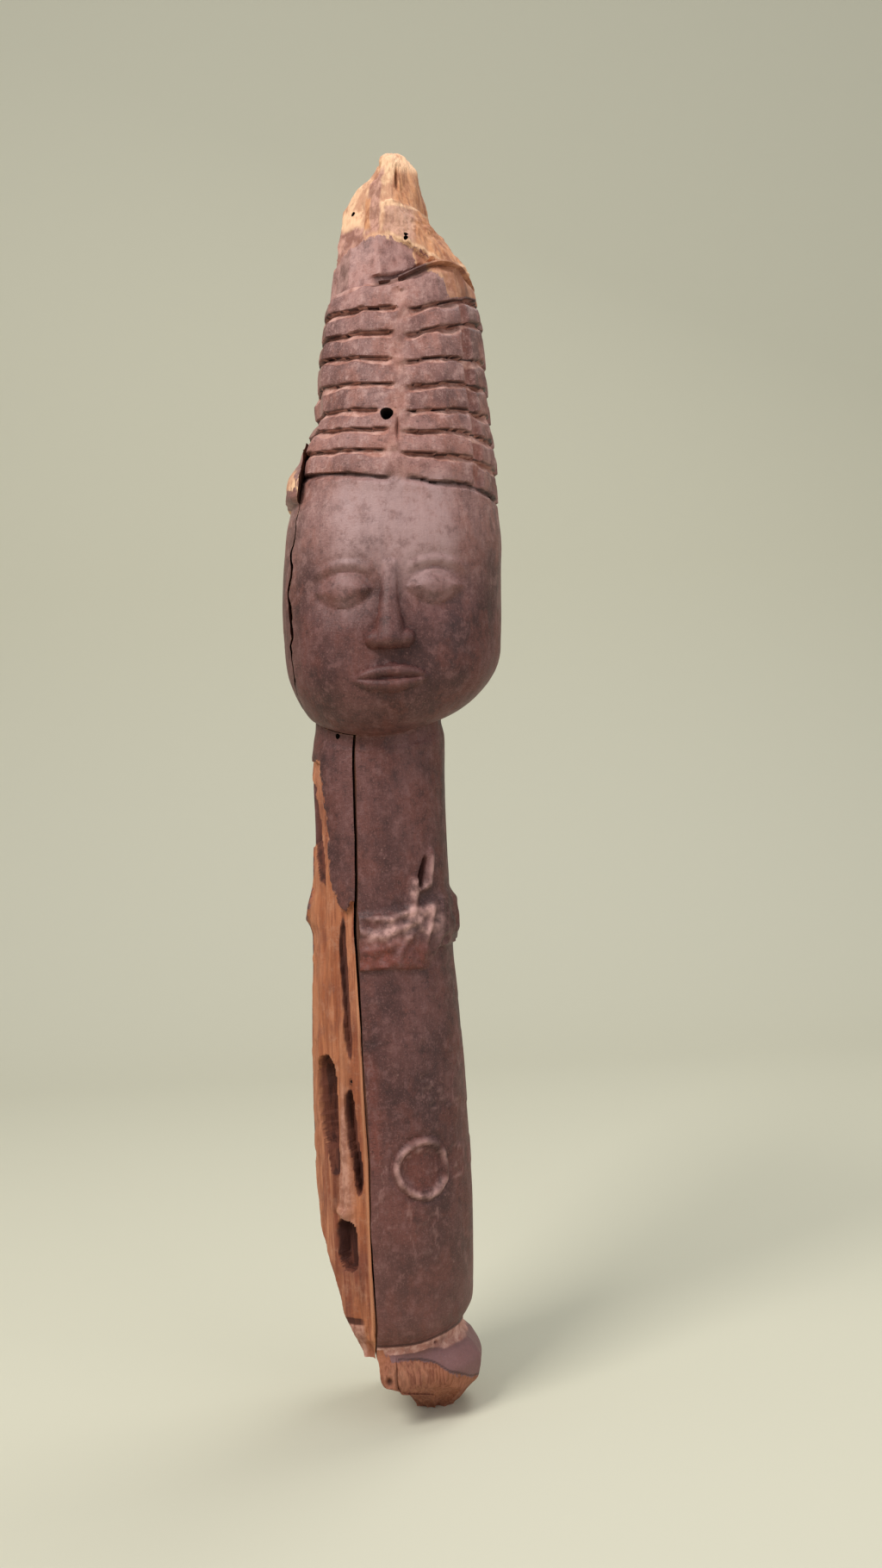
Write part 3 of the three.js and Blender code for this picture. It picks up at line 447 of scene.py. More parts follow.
def shaft_relief(level, turn, x, y):
    """All that is carved and flaked on the shaft; also where it gets painted shade, where it is worn by
    rubbing or gets a painted highlight, and where it is warm.
    """
    lumps = noise_at(x, y, level)
    carved, slit, band, rubbed_and_highlight = collar_relief(level, turn, x, y)
    ring, nub, outside, ring_rubbed_and_lit = ring_relief(level, turn)
    wear = lumps(8, 18, 0.7) + 0.35 * lumps(2.4, 19)
    flakes = tent(level - FLAKES_Z, FLAKES_REACH) * (FLAKE_DEPTH * smooth(wear, 0.06, 0.13))
    flake_edge = bell(wear - 0.05, 0.06) * tent(level - RUBBED_Z, RUBBED_REACH)
    # Flake edges, the nub and the ring lightened: rubbing, and on the ring a painted highlight
    rubbed_and_highlight = rubbed_and_highlight + ring_rubbed_and_lit + 0.8 * nub + 0.3 * flake_edge
    warm = band * smooth(level, 153, 149) * smooth(turn, 0.8, 0.5) * (0.7 + 0.6 * lumps(3.5, 77))
    warm += 0.6 * bell(x - split_x(level) - 1.5, 3) * plateau(level, 84, 112, 8)
    warm = warm + 0.5 * smooth(-outside, 1, 3) + 0.4 * plateau(level, 60, 72, 6) * bell(turn - 0.1, 0.5)
    return carved - slit + ring + nub - flakes, slit / SLIT_DEPTH, rubbed_and_highlight, warm


# The face keeps even proportions: three equal heights from hair to chin, five eye widths across
THIRD = FACE_HEIGHT / 3
BROW_Z = HAIR - THIRD
NOSE_Z = BROW_Z - THIRD
MOUTH_Z = NOSE_Z - THIRD * 0.36
EYE_Z = BROW_Z - THIRD * 0.3
EYE_X = HEAD_WIDTH / 5
EYE_WIDTH, EYE_HEIGHT, EYE_BULGE = 15.0, 8.5, 3.0
LID_WIDTH, LID_RISE = 1.3, 1.35
SOCKET_DEPTH = 2.2
BROW_HEIGHT, BROW_RISE = 3.0, 0.9
NOSE_WIDTH, NOSE_RISE, NOSTRIL_RISE = 14.5, 6.3, 3.7
LIP_WIDTH, LIP_HEIGHT, LIP_RISE = 22.0, 4.4, 3.0
CHEEK_RISE, CHIN_RISE = 1.2, 1.8


def dome(distance):
    return np.sqrt(held(1 - distance ** 2))


def face_relief(across, z, turn):
    side = np.abs(across) - EYE_X
    up = z - EYE_Z
    socket = SOCKET_DEPTH * bell(np.hypot(side / EYE_WIDTH, up / (EYE_HEIGHT * 1.5)), 1)
    cheek = CHEEK_RISE * bell(side - EYE_WIDTH * 0.15, EYE_WIDTH) * bell(z - NOSE_Z, THIRD)
    chin = CHIN_RISE * bell(z - NECK - THIRD * 0.3, THIRD * 0.45) * bell(across, LIP_WIDTH * 0.8)
    base = cheek + chin - socket

    a, b = side / (EYE_WIDTH / 2), up / (EYE_HEIGHT / 2)
    inside = 1 - a * a - np.abs(b)
    edge = inside * EYE_HEIGHT / 2 / np.sqrt(1 + (2 * a * EYE_HEIGHT / EYE_WIDTH) ** 2)
    ball = EYE_BULGE * dome(1 - held(inside) ** 0.9) - 0.35 * bell(edge - 1.0, 0.7)
    lid = LID_RISE * bell(edge, LID_WIDTH) * np.where(up > 0, 1.15, 0.9)
    eyes = np.maximum(ball * (edge > 0), lid)

    arch = z - BROW_Z + BROW_HEIGHT * 2 * (side / EYE_WIDTH) ** 2
    brow = BROW_RISE * dome(arch / (BROW_HEIGHT / 2)) * dome((side - 0.5) / (EYE_WIDTH * 0.62))

    down = held((BROW_Z - z) / THIRD)
    round_end = np.sin(np.pi / 2 * held((1 - down) * 5 + 0.45))
    half = NOSE_WIDTH / 2 * mix(0.3, 0.72, down ** 1.8)
    reach = NOSE_RISE * mix(0.12, 1, down ** 1.15) * round_end
    in_nose = (z < BROW_Z) * smooth(z, NOSE_Z - 0.5, NOSE_Z + 0.1)
    bridge = reach * dome(across / half) * in_nose
    wing_x = (np.abs(across) - NOSE_WIDTH * 0.3) / (NOSE_WIDTH * 0.2)
    wing_z = (z - NOSE_Z - NOSE_WIDTH * 0.17) / (NOSE_WIDTH * 0.18)
    wings = NOSTRIL_RISE * dome(np.hypot(wing_x, wing_z))
    nostril = 1.4 * bell(np.hypot((np.abs(across) - NOSE_WIDTH * 0.2) / 1.3, (z - NOSE_Z + 0.1) / 0.8), 1)
    nose = np.maximum(bridge, wings) - nostril

    open_mouth = 1 - held(np.abs(2 * across / LIP_WIDTH)) ** 2
    lips = 0
    for lip in (1, -1):
        middle = MOUTH_Z + lip * LIP_HEIGHT * 0.46 * open_mouth
        swell = np.hypot(2 * across / LIP_WIDTH, (z - middle) / (LIP_HEIGHT / 2))
        lips = np.maximum(lips, LIP_RISE * dome(swell))
    crease = 0.7 * bell(z - MOUTH_Z, 0.7) * bell(across, LIP_WIDTH * 0.52)
    features = np.maximum.reduce([eyes, brow, nose, lips])
    return smooth(np.cos(turn), 0.15, 0.5) * (base + features - crease)


# The hair: tiers like saw teeth, an open parting in front and upright partings round the sides
GROOVE_DEPTH = 2.0
LEDGE_HEIGHT = 2.4
UNDERCUT_HEIGHT = 0.45
TIER_SLIT = (6.1, 303.5, 0.75, 6, 1.6)
PARTING_HALF_WIDTH = 1.4
HAIR_RADIUS = HAIR_WIDTH * 0.42
PARTING_TURN = 0.025
SIDE_PARTINGS = ((49, 1.5), (84, 1.0), (130, 1.1), (180, 1.1), (-130, 1.1), (-95, 1.0))
PILLOW_EDGES = (-180, -150, -130, -108, -82, -52, -24, 2, 27, 49, 70, 90, 112, 130, 155, 180)


def pillow_flat(turn, radius, shake):
    """How far flat knife cuts between the pillow edges lie inside the round."""
    edges = np.radians(PILLOW_EDGES)
    place = np.clip(turn + shake, -np.pi + 1e-6, np.pi - 1e-6)
    cell = np.clip(np.searchsorted(edges, place, side="right") - 1, 0, len(edges) - 2)
    low, high = edges[cell], edges[cell + 1]
    half, off = (high - low) / 2, place - (high + low) / 2
    return radius * (1 - np.cos(half) / np.cos(off))


def hair_relief(level, turn, x, y):
    """How far out the hair's surface lies; also where dusty ledges with a painted highlight, the pale
    partings, painted shade and side grooves are.
    """
    lumps, upright = noise_at(x, y, level), noise_at(0 * x, 0 * y, level)
    last = len(TIERS) - 2
    shake = 0.5 * lumps(9, 21, 0.5) + 0.28 * lumps(3.2, 22)
    z = level + shake + np.where(turn > 0.03, 0.8, -0.3)
    tier = np.searchsorted(TIERS, z, side="right") - 1
    inside, top = (tier >= 0) & (tier <= last), tier == last
    index = np.clip(tier, 0, last)
    from_low, from_high = z - TIERS[index], TIERS[index + 1] - z
    height = TIERS[index + 1] - TIERS[index]
    on_tier = noise_at(x, y, TIERS[index] * 3)

    def chance(seed):
        """A number from -0.5 to 0.5 that is the same all round a tier."""
        return scatter(index, 0 * index, 0 * index, seed) - 0.5

    parting_turn = PARTING_TURN + 0.03 * upright(14, 25) + 0.035 * upright(4, 26) + 0.05 * chance(38)
    apart = np.abs(turn - parting_turn) * HAIR_RADIUS
    reach = smooth(apart, PARTING_HALF_WIDTH - 0.4, PARTING_HALF_WIDTH + 2.2)
    reach = np.maximum(reach, 0.9 * (top & (TIERS[-1] - z < 4)))
    uneven = 0.9 + 0.75 * on_tier(8, 23) + 0.6 * top
    worn = top * np.maximum(plateau(turn, 0.9, 1.8, 0.4), smooth(-x, 3.5, 6.5))
    uneven *= (1 - 0.85 * worn)
    depth = GROOVE_DEPTH * np.clip(uneven, 0.1, 1.45) * reach
    ledge = LEDGE_HEIGHT * (0.85 + 0.35 * on_tier(6, 24))
    tooth = held(np.minimum(from_low / UNDERCUT_HEIGHT, from_high / ledge))

    swell = 0.55 * (1 - from_low / height) + 0.25 * bell(from_low - 0.45 * height, 0.5 * height)
    swell += 0.2 * (tier == 0) * (1 - from_low / height)
    swell -= 2.7 * smooth(-np.sin(turn), 0.5, 0.95) * bell(level - 309, 13)
    swell -= 1.1 * smooth(np.sin(turn), 0.5, 0.95) * bell(level - 344, 13)
    edge_wear = 0.35 * bell(from_low, 1.2) * held(lumps(2.3, 28) + 0.2) + 0.3 * cuts(x, y, level, 5, 37)
    flat = pillow_flat(turn, HAIR_RADIUS, 0.05 * chance(29))
    face = (swell - 1.5 * flat - edge_wear) * (0.35 + 0.65 * reach) - depth * (1 - tooth)
    face -= (0.4 - 0.5 * lumps(2.6, 80)) * (1 - reach)
    (hole_x, hole_z), _, _ = HOLES[0]
    around_hole = smooth(np.hypot(x - hole_x, level - hole_z), 3.6, 2.3) * (y < 0)
    face = mix(face, -0.3, around_hole)
    groove = 0 * level
    for degrees, half_width in SIDE_PARTINGS:
        apart = np.abs((turn - math.radians(degrees) + np.pi) % (2 * np.pi) - np.pi) * HAIR_RADIUS
        cut = 1 - smooth(apart + 0.5 * lumps(4, 27), half_width - 0.5, half_width + 0.8)
        face = mix(face, np.minimum(face, -1.5 + 0.35 * lumps(3, 30)), cut)
        groove = np.maximum(groove, cut)
    face -= patch(x - 0.3 * lumps(3, 39), level, TIER_SLIT) * (y < 0)

    # Dust and a painted highlight: the upward ledge at the top of each tier is lightened
    dust_and_highlight = smooth(ledge * 1.05 - from_high, 0, 0.7) * held(uneven + 0.2) * (0.25 + 0.75 * reach)
    shade = held(1.4 - from_low / UNDERCUT_HEIGHT) * reach * (from_low >= 0) * (1 - around_hole)
    under_hair = -1.5 * bell(TIERS[0] - z - 0.4, 1.7) * (tier < 0) * (0.3 + 0.7 * reach)
    shadow = 0.9 * bell(TIERS[0] - z + 0.2, 1.5) * (tier < 0) * (0.15 + 0.85 * reach)
    pale = np.maximum(0.5 * (1 - reach), 0.3 * groove)
    face, shade = np.where(inside, face, under_hair), np.where(inside, shade, shadow)
    return face, dust_and_highlight * inside, pale * inside, shade, groove * inside


# Flat cuts of the crest: which way each faces in degrees from the front to the right, how far it lies from
# the wand's own axis at a height, that height, and how much farther out for each millimetre up
BLOCK_TOP = (
    (-180, 359), (-95, 361), (-50, 364), (-8, 366.3), (41, 358.3), (60, 356.5), (95, 357), (180, 359),
)
BLOCK_CUTS = (
    (-26, 17.6, 351, -0.15), (23, 20.9, 351, -0.2), (62, 31.0, 351, -0.5), (-64, 13.6, 351, -0.15),
    (90, 31.6, 352, -0.48), (135, 28.5, 352, -0.4), (180, 21.0, 352, -0.35), (-145, 19.0, 352, -0.3),
)
# The back of the step and of the spire is one break
BACK_CUTS = (
    (-90, 8.7, 370, -0.16), (-90, 7.3, 380, -0.75), (172, 12.2, 366, -0.29), (-140, 13.5, 366, -0.38),
)
STEP_CUTS = BACK_CUTS + (
    (-42, 10.1, 366, -0.357), (8, 16.4, 366, -0.25), (40, 20.3, 366, -0.45), (70, 24.2, 366, -0.7),
    (90, 26.0, 364, -0.68), (128, 19.0, 366, -0.38),
)
SPIRE_CUTS = BACK_CUTS + (
    (-42, 0.3, 394, -0.357), (10, 6.4, 394, -0.33), (35, 10.2, 390, -0.3), (58, 13.6, 390, -0.14),
    (90, 18.6, 380, -0.02), (80, 15.9, 390, -0.55), (128, 14.8, 377, -0.25),
)
STEP_TOP = 377.3
SPIRE_HOLLOW = (11.3, 388, 1.3, 6, 1.8)
SIDE_HOLLOW = (0, 369, 2.4, 8, 1.1)
WORN_SHADE = (30, 348, 3.5, 6, 0.55)
block_top = curve_through([(math.radians(turn), z) for turn, z in BLOCK_TOP])


def plane_reach(cuts_made, z, turn, middle):
    """How far out the nearest flat cut lets the surface lie."""
    nearest = np.full(np.shape(z), FAR_AWAY)
    for degrees, reach, height, slope in cuts_made:
        facing = math.radians(degrees)
        away = np.cos(turn - facing)
        out = reach + slope * (z - height) - middle * math.sin(facing)
        along = np.maximum(out, 0.4) / np.maximum(away, 0.05)
        nearest = np.minimum(nearest, np.where(away > 0.05, along, FAR_AWAY))
    return nearest


def crest_reach(z, turn, middle, x, y):
    """Where the flat cuts of the block, of the step above it and of the broken spire let the surface lie."""
    lumps = noise_at(x, y, 0 * z)
    jag = 1.0 * lumps(4.5, 34) + 0.5 * lumps(1.6, 35)
    over_block = z - block_top(turn) + jag
    step_top = STEP_TOP + 1.3 * np.cos(turn - 0.3) + jag
    block, step, spire = [plane_reach(made, z, turn, middle) for made in (BLOCK_CUTS, STEP_CUTS, SPIRE_CUTS)]
    upper = np.maximum(spire, mix(step, spire, smooth(z, step_top - 0.5, step_top + 0.9)))
    return mix(block, upper, smooth(over_block, -0.3, 0.9)), over_block


def crest_relief(over_block, z, x, y):
    """Splintered hollows and grain on the broken wood, and long knife cuts on the block."""
    lumps = noise_at(x, y, z)
    planes = 1.5 * cuts(x, y, z * 0.4, 7.5, 31) + 0.6 * cuts(x, y, z * 0.5, 3.2, 32)
    grain = 0.25 * lumps(0.8, 33, 0.1) + 0.2 * lumps(2.0, 36, 0.15)
    hollow = patch(x, z, SPIRE_HOLLOW) * (y < 0)
    side_hollow = patch(x - 0.2 * (z - 366), z, SIDE_HOLLOW) * (y < 0)
    side_hollow += 2.1 * bell(z - 391.5, 5.5) * smooth(x, 4, 0)
    return smooth(over_block, -0.2, 1.2) * (1.5 - np.clip(planes, 0, 1.7) + grain - hollow - side_hollow)


def torn_tones(over_block, x, y, z):
    """How tawny and how pink the broken wood is, from 0 to 1; where both are 0 it is pale, and along the
    step's top edge that pale is a painted highlight.
    """
    lumps = noise_at(x, y, z)
    ridge = 3.9 + 0.075 * (z - 366) + 0.8 * lumps(3, 57)
    high = smooth(z, STEP_TOP - 0.5, STEP_TOP + 0.9)
    away = smooth(over_block, 1.2, 3.0) * (1 - smooth(z, 389, 393))
    edge = x + 0.6 * lumps(3, 58)
    left = smooth(ridge - x, 0, 1.2) * smooth(edge, -3.4, -2.2)
    low_left = plateau(z + 1.5 * lumps(3, 78), 340, 372, 2) * smooth(-edge, 2.5, 4.5)
    brown = plateau(edge, -3.4, -1.4, 0.6) * plateau(z, 371, 381, 2)
    # Painted highlight: a pale line along the step's top edge
    step_edge_highlight = bell(z - STEP_TOP - 0.1, 1.0) * (x > ridge)
    right = smooth(x - ridge, 3.6, 5.5) * high + smooth(x, 15, 18) * (1 - high)
    behind = smooth(y, -2, 3)
    pink = np.maximum(0.9 * left, 0.75 * smooth(x - ridge, 0, 1) * (1 - high) * (1 - smooth(x, 15, 18)))
    tawny = np.maximum.reduce([0.85 * right, 0.75 * behind, 0.9 * brown])
    pink = pink * (1 - brown) * (1 - step_edge_highlight) * (1 - behind)
    return held(tawny * away * (1 - step_edge_highlight)), held(np.maximum(pink * away, low_left * (y < 4)))


# Decay of the stave: where its stain ends on the left, as (height, across), and below, as (across, height)
SKIN_LEFT = ((150, -18.0), (160, -20.6), (164, -21.6), (168, -22.9), (205, -23.2), (210, -25.0))
SKIN_LOW = (
    (-24, 168.0), (-21.4, 163.5), (-20.4, 161), (-19, 160), (-17.8, 160.5), (-16.4, 162.5), (-12, 165.5),
)
SKIN_TOP = 207
SKIN_TURN = -1.7
STAIN_EDGE = (-0.2, 1.0)
RIB_X, RIB_Z, RIB_LEAN = -23.2, 90, 0.035
LIP = (-25.2, 67.5, 4.8, 2.2, 1)
STAVE_BULGE_Z, STAVE_BULGE_RISE = 158.5, 1.5
# Hollows as (height, across, half width, half height, depth, steepness)
HOLLOWS = (
    (100.5, -28.3, 3.2, 14.5, 8.5, 4.5),
    (86.0, -27.8, 2.2, 8.0, 3.4, 2.0),
    (74.0, -28.6, 1.2, 8.0, 1.7, 1.6),
    (89.0, -20.4, 1.6, 16.5, 5.0, 2.4),
    (57.5, -25.0, 3.7, 8.0, 6.5, 3.5),
    (136.0, -20.7, 1.4, 22.5, 3.2, 1.8),
    (123.0, -27.0, 1.6, 18.0, 1.4, 1.2),
    (107.5, -20.2, 0.8, 1.2, 2.0, 1.5),
    (186.0, -27.4, 1.5, 19.5, 4.6, 2.2),
    (43.0, -20.8, 1.3, 9.0, 1.6, 1.5),
    (34.0, -24.0, 4.2, 1.1, 2.1, 1.8),
)
skin_left = curve_through(SKIN_LEFT)
skin_low = curve_through(SKIN_LOW)


def bare_field(level, turn, x, y):
    """Above 0 where the stave's stain is gone, in millimetres from the edge of the stain."""
    lumps = noise_at(x, y, level)
    ragged = 0.5 * lumps(3.5, 41, 0.4) + 0.35 * lumps(1.4, 42)
    beside = skin_left(level) - x + ragged
    below = skin_low(x) - level + 2 * ragged
    under_top = SKIN_TOP - level + 4 * ragged
    edge = turn - SKIN_TURN - 0.28 * bell(level - 161, 8) + 0.08 * lumps(9, 43, 0.2)
    return np.minimum(np.minimum(np.maximum(beside, below), under_top), edge * SHAFT_WIDTH / 2)


def stave_relief(level, turn, x, y):
    """The eaten stave's depth under its stain; also how bare it is, how deep in a hollow with painted shade,
    where its raised rim, strip, rib and lip get a painted highlight, and how pink it is.
    """
    lumps, ends, upright = noise_at(x, y, level), noise_at(x, y, 0 * level), noise_at(0 * x, 0 * y, level)
    bare = bare_field(level, turn, x, y)
    eaten = smooth(bare, *STAIN_EDGE)
    rim = smooth(turn, -1.05, -1.3) * (0.75 + 0.35 * lumps(3, 47))
    strip = bell(x - split_x(level) + 1.6, 1.6)
    rib = bell(x - RIB_X - RIB_LEAN * (level - RIB_Z), 1.9 + 1.6 * smooth(level, 98, 72))
    rib *= plateau(level, 66, 122, 8)
    channels = 0.8 * noise(x, y * 0.6, level * 0.03, 2.1, 44) + 0.4 * lumps(0.9, 45, 0.06)
    depth = eaten * (1.9 - 1.2 * rim - 1.2 * strip - 1.0 * rib + channels)
    depth -= 0.6 * eaten * bell(level - 28, 6)
    pit_shade = 0 * level
    wave, ragged = 0.6 * upright(4, 46, 0.3), ends(1.6, 48)
    for z, across, half_width, half_height, deep, steep in HOLLOWS:
        a = (x - across - wave + 0.02 * (level - z)) / half_width
        b = (level - z + ragged * (level < z)) / half_height
        inside = held(1 - np.abs(a) ** 2.4 - np.abs(b) ** 4)
        form = np.minimum(1, inside * steep) * (y < 4)
        depth = np.maximum(depth, deep * form + 0.5 * form * channels)
        # Painted shade: the deeper hollows are darkened
        pit_shade = np.maximum(pit_shade, form * min(1, (deep - 1.2) / 3))
    lip = patch(x, level - 0.8 * ends(2, 49), LIP)
    pink = np.maximum(rib * smooth(level, 112, 92), smooth(level, 34.5, 32) * smooth(-x, 19.5, 21))
    # Painted highlight on the raised rim, the strip by the split, the rib and the lip
    shine = held(strip + 0.6 * rib + lip + 0.7 * rim)
    return -(depth - 1.5 * lip * (1 - pit_shade)), bare, pit_shade, shine * eaten * (1 - pit_shade), pink * (1 - pit_shade)


# What lies where on the wood, with painted shade and painted highlights among the marks, and the value of
# each mark
# where nothing lies: bare and torn are in millimetres from the edge of what they mark, the rest are shares
foot_stain = curve_through(((-17, 25.0), (-9, 21.0), (1.7, 19.2), (5.7, 15.8), (10.9, 13), (17, 9)))
MARKS = {
    "dust_and_highlight": 0, "bare": -6, "pit_shade": 0, "parting": 0, "torn": -20, "tawny": 0, "pink": 0, "warm": 0, "shade": 0,
    "rubbed_and_highlight": 0, "cut": 0,
}
SAWN, BORED = 1, 2
NOTCH = (-12.9, 16.0, 1.9, 2.1, 1.8)
DENT = (1.9, 25.0, 1.0, 0.8, 1.2)
SEAM_X, SEAM_LOW, SEAM_HIGH, SEAM_DEPTH = -10.4, 13, 19, 0.7
DUST_LOW, DUST_HIGH, FOOT_TOP = 23.2, 24.9, 26.5
FOOT_ROUND, FOOT_FLAT_WIDTH = 20, 13


def blank_marks(shape):
    return {name: np.full(shape, float(value)) for name, value in MARKS.items()}


def foot_wear(level, x, y, z):
    """The foot's broken left: how deep it is, and where bare wood, the dusty shoulder and painted shade are.
    """
    lumps = noise_at(x, y, level)
    above = foot_stain(x) - z
    bare = np.where((z < 30) & (level <= FOOT_TOP), above + 1.2 * lumps(4, 54), MARKS["bare"])
    shoulder = plateau(level, DUST_LOW - 1.8 * smooth(x, -1, 6), DUST_HIGH, 0.7)
    dust_and_highlight = held(shoulder * (0.8 + 0.5 * lumps(2.4, 59))) * (y < 12)
    # Painted shade along the lower edge of the stain
    stain_edge_shade = 0.75 * bell(above + 0.6 + 0.8 * lumps(4, 54), 0.9) * (z < 24) * (x > -10)
    seam = SEAM_DEPTH * bell(x - SEAM_X - 0.5 * lumps(4, 73), 0.6) * plateau(z, SEAM_LOW, SEAM_HIGH, 2)
    notch, dent = pocket(x, z, NOTCH), pocket(x, z, DENT)
    in_front = (y < 0) & (level < 30)
    # Painted shade in the notch, the dent and the seam
    recess_shade = held(0.4 * notch + 0.6 * dent + 0.6 * seam) * in_front
    shade = np.maximum.reduce([0.7 * bell(level - 26.0, 0.8) * (y < 12), stain_edge_shade * (y < 6), recess_shade])
    return (seam + notch + dent) * in_front, bare, dust_and_highlight, shade


def splinter_break(x, y, z):
    """Above 0 where the splinter's front edge is broken and pale, in millimetres from the edge of that."""
    low = SPLINTER_BREAK_LOW + 3.5 * noise(0 * x, y, 0 * z, 9, 82) * smooth(y, -24, -16)
    low += 2.5 * smooth(y, 0, 14)
    from_edge = SPLINTER_BREAK_X - np.maximum(x, splinter_limit(z))
    inside = np.minimum(np.minimum(z - low, SPLINTER_BREAK_HIGH - z), from_edge)
    return inside + 1.2 * noise(x, y, z, 3, 55)


def left_limit(level, x, y, z, middle, half, is_stave, is_splinter):
    """How far left the wood reaches, and whether a point is in the part of the hair that has a flat there."""
    lumps = noise_at(x, y, level)
    wave = 0.5 * lumps(3, 52, 0.5)
    low_edge = -LEAN * 1.14 - broken_edge((level - FOOT_HEIGHT) / SHAFT_LENGTH) * SHAFT_WIDTH + wave
    limit = low_edge if is_stave else np.where(level < 24, foot_left(z) + wave, -FAR_AWAY)
    limit = np.where(level < FOOT_HEIGHT + SHAFT_LENGTH / 2, limit, -FAR_AWAY)
    flat_low, flat_high = [HAIR + share * HAIR_HEIGHT for share in FLAT_SHARES]
    in_flat = (level > flat_low) & (level < flat_high)
    limit = np.where(in_flat, middle - FLAT_DEPTH_SHARE * half + 0.15 * lumps(4, 53, 0.2), limit)
    if is_splinter:
        limit = splinter_limit(z) + 0.4 * noise(y, z, 0 * z, 3, 56)
    return limit, in_flat


def carve(level, turn, is_stave=False, is_splinter=False):
    """A point of the log for each level and turn, with what lies there."""
    half, front, back, middle, squareness = section_at(level)
    if is_splinter:
        behind_hair = mix(*SPLINTER_HALVES, smooth(level, HAIR - 2, HAIR + 6))
        half = np.maximum(half, behind_hair * smooth(level, HAIR - 18, HAIR - 5))
    sine, cosine = np.sin(turn), np.cos(turn)
    depth = np.where(cosine > 0, front, back)
    reach = (np.abs(sine / half) ** squareness + np.abs(cosine / depth) ** squareness) ** (-1 / squareness)
    x, y = middle + reach * sine, -reach * cosine
    z = level + shift_up(level, turn, reach * sine, half)
    lumps = noise_at(x, y, level)
    marks = blank_marks(level.shape)

    def lay(name, value):
        """Raise a mark to this value where it is lower."""
        marks[name] = np.maximum(marks[name], value)

    relief = 0.10 * lumps(6, 1, 0.3) + 0.05 * lumps(1.1, 2, 0.08)
    relief = relief - 0.25 * cuts(x, y, level * 0.5, 9, 3) - 0.08 * cuts(x, y, level * 0.7, 3.5, 4)
    shaft = level < JAW
    relief += (0.3 + 0.45 * smooth(sine, 0.2, 0.9)) * plateau(level, 32, 215, 6)
    relief += 1.5 * bell(level - 203, 24) * smooth(-sine, 0.5, 0.9) * shaft
    carving, marks["shade"], marks["rubbed_and_highlight"], marks["warm"] = shaft_relief(level, turn, x, y)
    deep, marks["bare"], marks["dust_and_highlight"], shade = foot_wear(level, x, y, z)
    carving -= deep
    lay("shade", shade)
    if is_stave:
        eaten, marks["bare"], marks["pit_shade"], stave_highlight, marks["pink"] = stave_relief(level, turn, x, y)
        gone = smooth(marks["bare"], *STAIN_EDGE)
        bulge = STAVE_BULGE_RISE * bell(level - STAVE_BULGE_Z, 8.5) * smooth(turn, -1.0, -1.35)
        carving = 0.3 * carving * (1 - gone) * smooth(level, 151, 158) + eaten + bulge
        for name in ("dust_and_highlight", "shade", "warm"):
            marks[name] = 0 * level
    relief += np.where(shaft, carving, 0)
    flats = chords(turn * FOOT_ROUND, FOOT_FLAT_WIDTH, FOOT_ROUND, 3)
    edges = -0.9 * flats - 0.3 * cuts(x, y, level * 0.3, 8, 5)
    relief += edges * smooth(level, 23.5, 20)
    face = face_relief(reach * sine, z, turn) * smooth(level, HAIR + 3, HAIR - 3)
    relief += np.where(shaft, 0, face)
    tiers, dust_and_highlight, parting, shade, groove = hair_relief(level, turn, x, y)
    hair = level > HAIR - 4
    relief += np.where(hair, tiers if not is_splinter else 0, 0)
    marks["dust_and_highlight"] = np.where(hair, dust_and_highlight, marks["dust_and_highlight"])
    marks["parting"] = np.where(hair, parting, 0)
    marks["warm"] = np.where(hair, groove * (level < TIERS[-1]), marks["warm"])
    marks["shade"] = np.where(hair, shade, marks["shade"])
    # The stave's raised parts get a painted highlight; on the shaft this mark is rubbing with painted
    # highlight
    marks["rubbed_and_highlight"] = stave_highlight if is_stave else marks["rubbed_and_highlight"] * shaft * (level > 30)

    cut_reach, over_block = crest_reach(z, turn, middle, x, y)
    to_tip = held((level - (TIP - 4)) / 4)
    cut_reach *= np.sqrt(1 - 0.8 * to_tip ** 2)
    cut_radius = np.minimum(reach + 0.6 + relief, cut_reach) + crest_relief(over_block, z, x, y)
    in_crest = smooth(level, TIERS[-1], TIERS[-1] + 0.3)
    radius = mix(reach + relief, np.maximum(cut_radius, 0.3), in_crest)
    marks["torn"] = np.where(level > TIERS[-1] - 4, over_block, marks["torn"])
    over_tier = level - TIERS[-1] + 0.4 * lumps(3, 81) + 0.9 * smooth(x, 8, 16)
    under_block = plateau(over_tier, -1.9, 2.0, 0.5) * plateau(x, 1, 18, 4) * (y < 0) * hair
    radius -= 1.5 * under_block
    lay("shade", 0.6 * under_block)
    marks["tawny"], tones_pink = torn_tones(over_block, x, y, z)
    worn_top = smooth(x + 3.0 * lumps(5, 74) + 0.5 * (z - 350), 20, 24) * (level > TIERS[-2]) * (y < 14)
    marks["torn"] = np.where((over_block < 0) & (worn_top > 0), 4 * worn_top - 1, marks["torn"])
    lay("tawny", worn_top * (over_block < 0))
    lay("pink", np.maximum(tones_pink, 0.45 * worn_top * (over_block < 0)))
    lay("shade", worn_top * patch(x, z, WORN_SHADE))
    if is_splinter:
        for name in ("dust_and_highlight", "parting", "shade", "tawny", "pink"):
            marks[name] = 0 * level
        marks["torn"] = splinter_break(x, y, z)
    px, py = middle + radius * sine, -radius * cosine

    limit, in_flat = left_limit(level, x, y, z, middle, half, is_stave, is_splinter)
    lay("warm", 0.9 * smooth(limit - px, 0, 0.5) * in_flat * (over_block < 0))
    return np.clip(px, limit, WIDEST_RIGHT), py, z, marks


